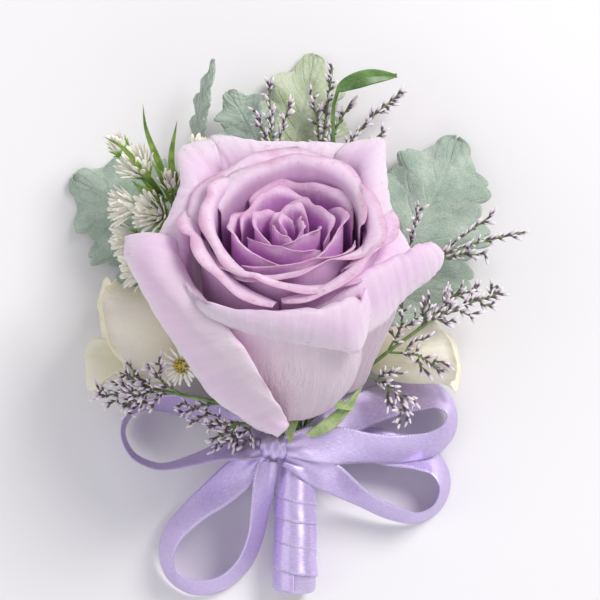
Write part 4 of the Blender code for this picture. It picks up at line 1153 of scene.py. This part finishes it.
# %% Sea lavender
SPRAYS = {
    "sea_lavender_left": dict(
        slot=4, route=[(-3.6, -25.7, 15.4), (-13, -21.5, 18), (-25, -18.5, 21.5), (-37, -16.5, 22),
                       (-49, -18.3, 17)],
        spikes=[(0.6, (-36, -10.5, 26)), (0.68, (-43, -12.5, 24)), (0.7, (-43.5, -20.5, 17)),
                (0.4, (-28, -22.5, 18.5))]),
    "sea_lavender_left_low": dict(
        slot=3, route=[(0.4, -25.9, 14.0), (-3.6, -25.4, 18), (-9, -25, 19.3), (-15, -25.5, 19.5),
                       (-21, -29.5, 17)],
        spikes=[(0.6, (-21, -25, 19.5)), (0.5, (-15, -30, 18.6))]),
    "sea_lavender_right_high": dict(
        slot=0, route=[(7, -21.5, 7.0), (14, -3, 8.2), (25, 9, 13.5), (40, 18.5, 17), (57, 23, 15)],
        spikes=[(0.5, (31, 29, 18)), (0.6, (49.5, 27.3, 17)), (0.68, (48, 17.5, 15.5))]),
    "sea_lavender_right_low": dict(
        slot=2, route=[(5.2, -24.5, 10.8), (10, -19.5, 11.8), (16, -13, 19), (26, -5, 23.5), (38, 3, 23),
                       (51, 7.5, 18)],
        spikes=[(0.36, (28.5, -23, 19.5)), (0.5, (36, -11.5, 23)), (0.62, (41.5, 9, 23)),
                (0.5, (27, 5, 26))]),
    "sea_lavender_top_left": dict(
        slot=11, route=[(-1.7, -20, 3.7), (-2.3, -6, 2.5), (-3.4, 14, 3.2), (-4.5, 32, 11), (-6, 44, 17),
                        (-6.5, 60, 17.5)],
        spikes=[(0.72, (-1.5, 55, 18)), (0.76, (-9.5, 53, 19))]),
    "sea_lavender_top_right": dict(
        slot=13, route=[(1.7, -20, 3.9), (2.4, -6, 2.7), (3.6, 14, 3.2), (5.5, 34, 10), (9.5, 65, 11.5)],
        spikes=[(0.68, (14, 56, 10.5)), (0.62, (26.5, 58.5, 9)), (0.56, (22, 48.5, 12)),
                (0.74, (4, 58, 13.5))]),
}
DENSE = ("sea_lavender_left", "sea_lavender_left_low", "sea_lavender_right_low")
FLORET_LENGTH, FLORET_PITCH = 3.7, 0.66
TWIG_EVERY, MAIN_STEPS, BARE_SHARE = 3.0, 400, 0.66


def side_twigs(path, dice):
    """Short twigs to both sides of a spike, shorter towards its tip."""
    count = max(int(path_length(path) / TWIG_EVERY), 1)
    twigs = []
    for k in range(count):
        at = (k + 0.4) / count
        index = min(int(at * (len(path) - 1)), len(path) - 2)
        root, ahead = path[index], unit(path[index + 1] - path[index])
        aside = unit(np.cross(UP, ahead)) * (-1) ** k + 0.5 * UP * dice.uniform(-0.6, 1)
        reach = (6.0 - 3.0 * at) * dice.uniform(0.7, 1.1)
        middle = root + 0.5 * reach * unit(0.5 * ahead + aside)
        tip = root + reach * unit(ahead + 0.85 * aside)
        twigs.append(curve_through([root, middle, tip], 9))
    return twigs


wires, florets = [], []
for k, (name, spec) in enumerate(SPRAYS.items()):
    main = stem_path(spec["slot"], spec["route"], 90)
    along = spaced(main[1:], MAIN_STEPS + 1)
    flowered = [along[int(BARE_SHARE * MAIN_STEPS):]]
    parts = [tube(main, np.interp(np.linspace(0, 1, 90), [0, 0.7, 1], [0.55, 0.42, 0.22]), sides=8)]
    for start, tip in spec["spikes"]:
        at = int(start * MAIN_STEPS)
        root, tip = along[at], np.array(tip, float)
        middle = (root + tip) / 2 + 0.15 * np.linalg.norm(tip - root) * unit(along[at + 1] - along[at - 1])
        path = curve_through([root, middle, tip], 24)
        parts.append(tube(path, np.linspace(0.32, 0.18, 24), sides=6))
        flowered.append(path[5:])
    if name in DENSE:
        dice = np.random.default_rng(7 + k)
        twigs = [twig for path in flowered for twig in side_twigs(path, dice)]
        parts += [tube(twig, np.linspace(0.2, 0.14, 9), sides=5) for twig in twigs]
        flowered += [twig[1:] for twig in twigs]
    wires.append(show(mesh_from(f"{name}_wires", parts, stem_finish), "stem_green", name))
    mesh = grown_along(f"{name}_florets", flowered, {
        "Floret": spikelet, "Pitch": FLORET_PITCH * MM, "Spread": 0.85, "Size": FLORET_LENGTH * MM,
        "Unevenness": 0.45, "Seed": 31 + k, "Finish": lavender_finish})
    florets.append(show(mesh, "sea_lavender", name))
say("sea lavender wires", *wires)
say("sea lavender florets", *florets)

# %% [markdown]
# The ribbon is lilac satin, 10 mm wide. Satin is smooth and shiny because its threads float on top for a long
# way. They draw a highlight out into a band, which is what an anisotropic shader does along the UV map's own
# tangent. It also has long fine streaks, and a bound edge with tiny stitches. The UV map of each ribbon is in
# millimetres, across and along, so the streaks and the edge have their true size everywhere.

# %% Satin
RIBBON_WIDTH, RIBBON_THICK = 10.0, 0.35
THREADS, DOT_RADIANS_PER_MM = (8.0, 0.7), 7.4


def satin_finish(name, deep, mid, light, stitched="E4DBF2"):
    finish = Finish(name, 0.36, Metallic=0.5, Anisotropic=0.9, Specular_IOR_Level=1.0, Coat_Weight=0.3,
                    Coat_Roughness=0.24)
    threads_run = finish.node("ShaderNodeTangent", direction_type="UV_MAP").outputs["Tangent"]
    finish.tree.links.new(threads_run, finish.shader.inputs["Tangent"])
    threads = finish.noise(finish.stretched(*THREADS), 1.0, 3.0, 0.6)
    shade = finish.ramp(threads, (0.34, deep), (0.5, mid), (0.66, light))
    other_edge = maths(finish.tree, "SUBTRACT", RIBBON_WIDTH, finish.u)
    from_edge = finish.times(maths(finish.tree, "MINIMUM", finish.u, other_edge), 0.5)
    bound = finish.ramp(from_edge, (0.30, 1.0), (0.42, 0.0))
    dots = maths(finish.tree, "SINE", finish.times(finish.v, DOT_RADIANS_PER_MM))
    dots = finish.ramp(dots, (0.3, 0.25), (0.9, 1.0))
    stitches = finish.times(bound, dots)
    finish.coloured(finish.mix(finish.times(stitches, 0.55), shade, stitched))
    finish.bumped(finish.plus(threads, finish.times(stitches, 1.2)), 0.00006, 0.4)
    return finish.material


ribbon_finish = satin_finish("lilac_satin_finish", "C2ACE4", "D4C0F0", "E8D8FC")
stitch_finish = shade_finish("ribbon_stitch_finish", 0.45, (0.0, "9C8AC8"), (0.6, "C2B2E2"), (1.0, "DDD2F2"))


def ribbon(name, grid, size, wrap=False, rows_across=True):
    """Satin on a grid, with a UV map in millimetres: size is how far it runs across and along the ribbon."""
    points, faces, uvs = skin(grid, RIBBON_THICK, wrap, edge=0.8)
    uvs = uvs if rows_across else uvs[..., ::-1]
    return mesh_from(name, [(points, faces, uvs * size)], ribbon_finish)


print("ribbon finishes:", ribbon_finish.name, stitch_finish.name)

# %% [markdown]
# A bow's loop is a ribbon that stands on edge where it turns back and lies flatter near the knot, where it is
# also gathered narrower. So each loop is a line with two more columns, the tilt of the ribbon and its width,
# and the strip is laid across that line. It is a sheet of cloth: its length is the line's own length.

# %% The loops of the bow
LOOPS = {
    "left_upper": [
        (-8.6, -31.2, 18.2, 20, 5), (-12, -31.3, 18, 45, 8), (-18, -32, 15.5, 64, 10),
        (-26, -34.5, 12.5, 74, 10), (-35.5, -36, 10, 84, 10), (-41.5, -33, 8.5, 88, 10),
        (-43.8, -27.3, 7.5, 88, 10), (-41.5, -22.4, 6.6, 80, 10), (-34, -20.6, 6, 66, 10),
        (-26, -21.6, 6, 50, 10), (-19, -24, 7.5, 42, 9), (-13.5, -26.8, 11, 30, 7), (-9, -29.6, 15, 20, 5)],
    "left_lower": [
        (-8.4, -32.6, 16.6, 10, 5), (-12.5, -36.3, 15.2, 20, 8), (-18.5, -41.7, 13.4, 38, 10),
        (-26, -47.8, 11, 52, 10), (-31.4, -53.8, 8.8, 60, 10), (-33, -59.2, 7.4, 68, 10),
        (-31.4, -64.6, 6.4, 72, 10), (-26, -67.4, 6, 64, 10), (-19.6, -66.8, 6.2, 66, 10),
        (-13.6, -62.2, 7.5, 68, 10), (-10.2, -55, 9.8, 68, 10), (-8.8, -47.5, 12.6, 62, 10),
        (-7.7, -40.5, 15, 45, 8), (-6.6, -34.6, 16.2, 15, 5)],
    "right_upper": [
        (-2.4, -30.9, 18, 0, 5), (3, -30.4, 17.4, 0, 8), (10, -30.7, 16.8, 18, 10), (19, -31.5, 14.6, 40, 10),
        (28.5, -31.8, 12.2, 46, 10), (35.5, -30.3, 10.6, 55, 10), (39.3, -26.8, 9.4, 68, 10),
        (40, -22.6, 8.8, 75, 10), (37, -19, 8.4, 60, 10), (31, -17.9, 8.4, 36, 10), (24, -19.2, 9, 28, 10),
        (16, -22.4, 10.8, 16, 9.5), (8.5, -26.4, 13, 5, 8), (2, -29.2, 15.2, 5, 5),
        (-2.4, -29.9, 16.4, 0, 5)],
    "right_lower": [
        (-2.5, -34, 14.9, 0, 4), (3, -36, 14.4, 8, 7), (9, -39.2, 11.6, 34, 9.5), (16.1, -44, 9.4, 58, 10),
        (25, -48.6, 7, 68, 10), (31.2, -49.8, 6, 74, 10), (36.4, -47, 5.6, 76, 10),
        (38.4, -41.4, 5.6, 72, 10), (36.4, -36.6, 5.6, 62, 10), (31.5, -33.6, 5.8, 45, 10),
        (24, -31.8, 6.4, 30, 10), (15, -30.4, 7.6, 22, 9), (8.5, -29.6, 9.6, 20, 7)],
}
LOOP_STEPS, LOOP_FLOOR, STITCH_PITCH, STITCH_SIZE = 190, 0.8, 0.7, 0.62


def loop_grid(points):
    """The strip of one loop: a slightly dished grid across the loop's line."""
    line = curve_through(points, LOOP_STEPS)
    path, tilt, width = line[:, :3], np.radians(line[:, 3])[:, None], line[:, 4:5]
    flat_tangent = np.gradient(path, axis=0) * np.array([1, 1, 0])
    side = unit(np.cross(UP, flat_tangent))
    lean = side * np.cos(tilt) + UP * np.sin(tilt)
    normal = unit(np.cross(lean, np.gradient(path, axis=0)))
    u = np.linspace(-1, 1, 13)[:, None, None]
    run = np.linspace(0, 1, LOOP_STEPS)[:, None]
    pleats = 0.45 * smooth_step(RIBBON_WIDTH - width, 0.5, 5) * np.cos(7.5 * u + 1.0)
    dish = 0.25 * (u * u - 0.4) + 0.22 * np.sin(14 * run + 2 * u) * np.sin(5 * run)
    grid = path + u * lean * width / 2 + (dish + pleats) * normal
    grid[..., 2] = np.maximum(grid[..., 2], LOOP_FLOOR)
    return grid, path_length(path)


loops, edges = [], []
for name, points in LOOPS.items():
    grid, length = loop_grid(points)
    loop = show(ribbon(f"ribbon_loop_{name}", grid, (RIBBON_WIDTH, length)), "ribbon_satin",
                f"bow_loop_{name}")
    mesh = grown_along(f"ribbon_edge_{name}", [grid[0], grid[-1]], {
        "Floret": stitch, "Pitch": STITCH_PITCH * MM, "Spread": 0.0, "Size": STITCH_SIZE * MM,
        "Unevenness": 0.05, "Seed": 5, "Finish": stitch_finish})
    edge = show(mesh, "ribbon_satin")
    print("loop", name, "is", round(length, 1), "mm of ribbon")
    loops.append(loop)
    edges.append(edge)
say("loops", *loops)
say("stitched edges", *edges)

# %% [markdown]
# The handle is bound with the same ribbon, wound round and round so that each turn covers the edge of the
# last. A helix does it: the strip's middle climbs a little less than its own width in each turn, and its two
# long edges lie at slightly different distances, one under and one over. A straight layer lies below it, so
# that no stem shows between two turns and the rim at the end is neat.

# %% The binding
WRAP_TURNS, WRAP_STEPS, WRAP_START, WRAP_ANGLE = 4.6, 420, -0.4, 0.9
BORE, BORE_WIDENS, OVERLAP = 4.55, 0.8, 0.15
HANDLE_LENGTH = path_length(np.array([HANDLE_TOP, HANDLE_END]))


def round_handle(angle, run, radius):
    """A point round the handle's axis: run is in millimetres from the top of the handle."""
    ring = np.cos(angle)[..., None] * ACROSS + np.sin(angle)[..., None] * np.cross(ACROSS, down_handle)
    return HANDLE_TOP + run[..., None] * down_handle + radius[..., None] * ring


t, u = np.meshgrid(np.linspace(0, 1, WRAP_STEPS), np.linspace(-1, 1, 13))
turns = WRAP_TURNS * t
middle = RIBBON_WIDTH / 2 + WRAP_START + (HANDLE_LENGTH - RIBBON_WIDTH * 0.92) * t
run = middle + u * RIBBON_WIDTH / 2 + 0.7 * np.sin(2.3 * turns) * u
angle = 2 * math.pi * turns + WRAP_ANGLE
bore = BORE + BORE_WIDENS * np.clip(run / HANDLE_LENGTH, 0, 1)
creases = 0.08 * np.sin(9 * angle / (2 * math.pi) + 3 * u) + 0.05 * np.sin(6 * u + 11 * t)
binding_grid = round_handle(angle, np.clip(run, 0.0, HANDLE_LENGTH - 0.1),
                            bore + 0.25 + OVERLAP * u + creases)
binding_length = path_length(binding_grid[6])
binding = show(ribbon("ribbon_binding", binding_grid, (RIBBON_WIDTH, binding_length)), "ribbon_satin",
               "handle_wrap")

UNDER_GIRTH = 2 * math.pi * 4.8
stations = np.array([0.0, 0.3, 2, 8, 16, 24, 30, 35, 36.6, 37.2, 37.42, 37.3, 36.8]) * HANDLE_LENGTH / 37.5
under_radius = 4.32 + BORE_WIDENS * stations / HANDLE_LENGTH
under_radius[-5:] -= [0.1, 0.35, 0.7, 1.0, 1.2]
angle, stations = np.meshgrid(np.linspace(0, 2 * math.pi, 49), stations, indexing="ij")
under_grid = round_handle(angle, stations, np.broadcast_to(under_radius, angle.shape))
mesh = ribbon("ribbon_underlayer", under_grid, (UNDER_GIRTH, HANDLE_LENGTH), wrap=True)
underlayer = show(mesh, "ribbon_satin", "handle_wrap")
print("the binding is", round(binding_length, 1), "mm of ribbon in", WRAP_TURNS, "turns")

# %% [markdown]
# The knot is one more short turn of ribbon, pulled tight over the gathered middle of the bow. It is a closed
# band round the bow's own line, narrower than the ribbon because it is crushed into folds, so ridges run
# round it. Behind it, the middle of the bow is a small bundle that fills the band.

# %% The knot
KNOT, KNOT_HALF, KNOT_FLAT, KNOT_GIRTH = np.array([-5.5, -30.8, 17.0]), 3.1, 16.0, 18.0
bow_line = unit([1.0, -0.12, -0.06])
knot_side = unit(np.cross(bow_line, UP))
knot_up = np.cross(knot_side, bow_line)

t, u = np.meshgrid(np.linspace(0, 2 * math.pi, 61), np.linspace(-1, 1, 33), indexing="ij")
swell = 2.7 - 0.55 * u**4 + 0.26 * np.sin(9.5 * u + 1.2 * np.sin(t)) + 0.12 * np.sin(3 * t + 4 * u)
knot_grid = (KNOT + (u * KNOT_HALF * (1 + 0.08 * np.sin(t + 1)))[..., None] * bow_line
             + (swell * 1.05 * np.cos(t))[..., None] * knot_side
             + (swell * 0.9 * np.sin(t))[..., None] * knot_up)
mesh = ribbon("ribbon_knot", knot_grid, (RIBBON_WIDTH, KNOT_GIRTH), wrap=True, rows_across=False)
knot = show(mesh, "ribbon_satin", "bow_knot")
filling = tube(np.array([KNOT + d * bow_line for d in np.linspace(-3.4, 3.4, 9)]),
               [0.9, 1.6, 2.0, 2.1, 2.1, 2.1, 2.0, 1.6, 0.9], sides=16)
bundle = show(mesh_from("ribbon_bundle", [filling], ribbon_finish), "ribbon_satin")
say("knot", knot, bundle)

# %% [markdown]
# The five small florets were only patterns for the copies, so they go. What is left is the boutonniere.
# Petals and florets may stand a little proud of it, but no more.

# %% Put away the patterns
for pattern in PATTERNS:
    bpy.data.objects.remove(pattern)
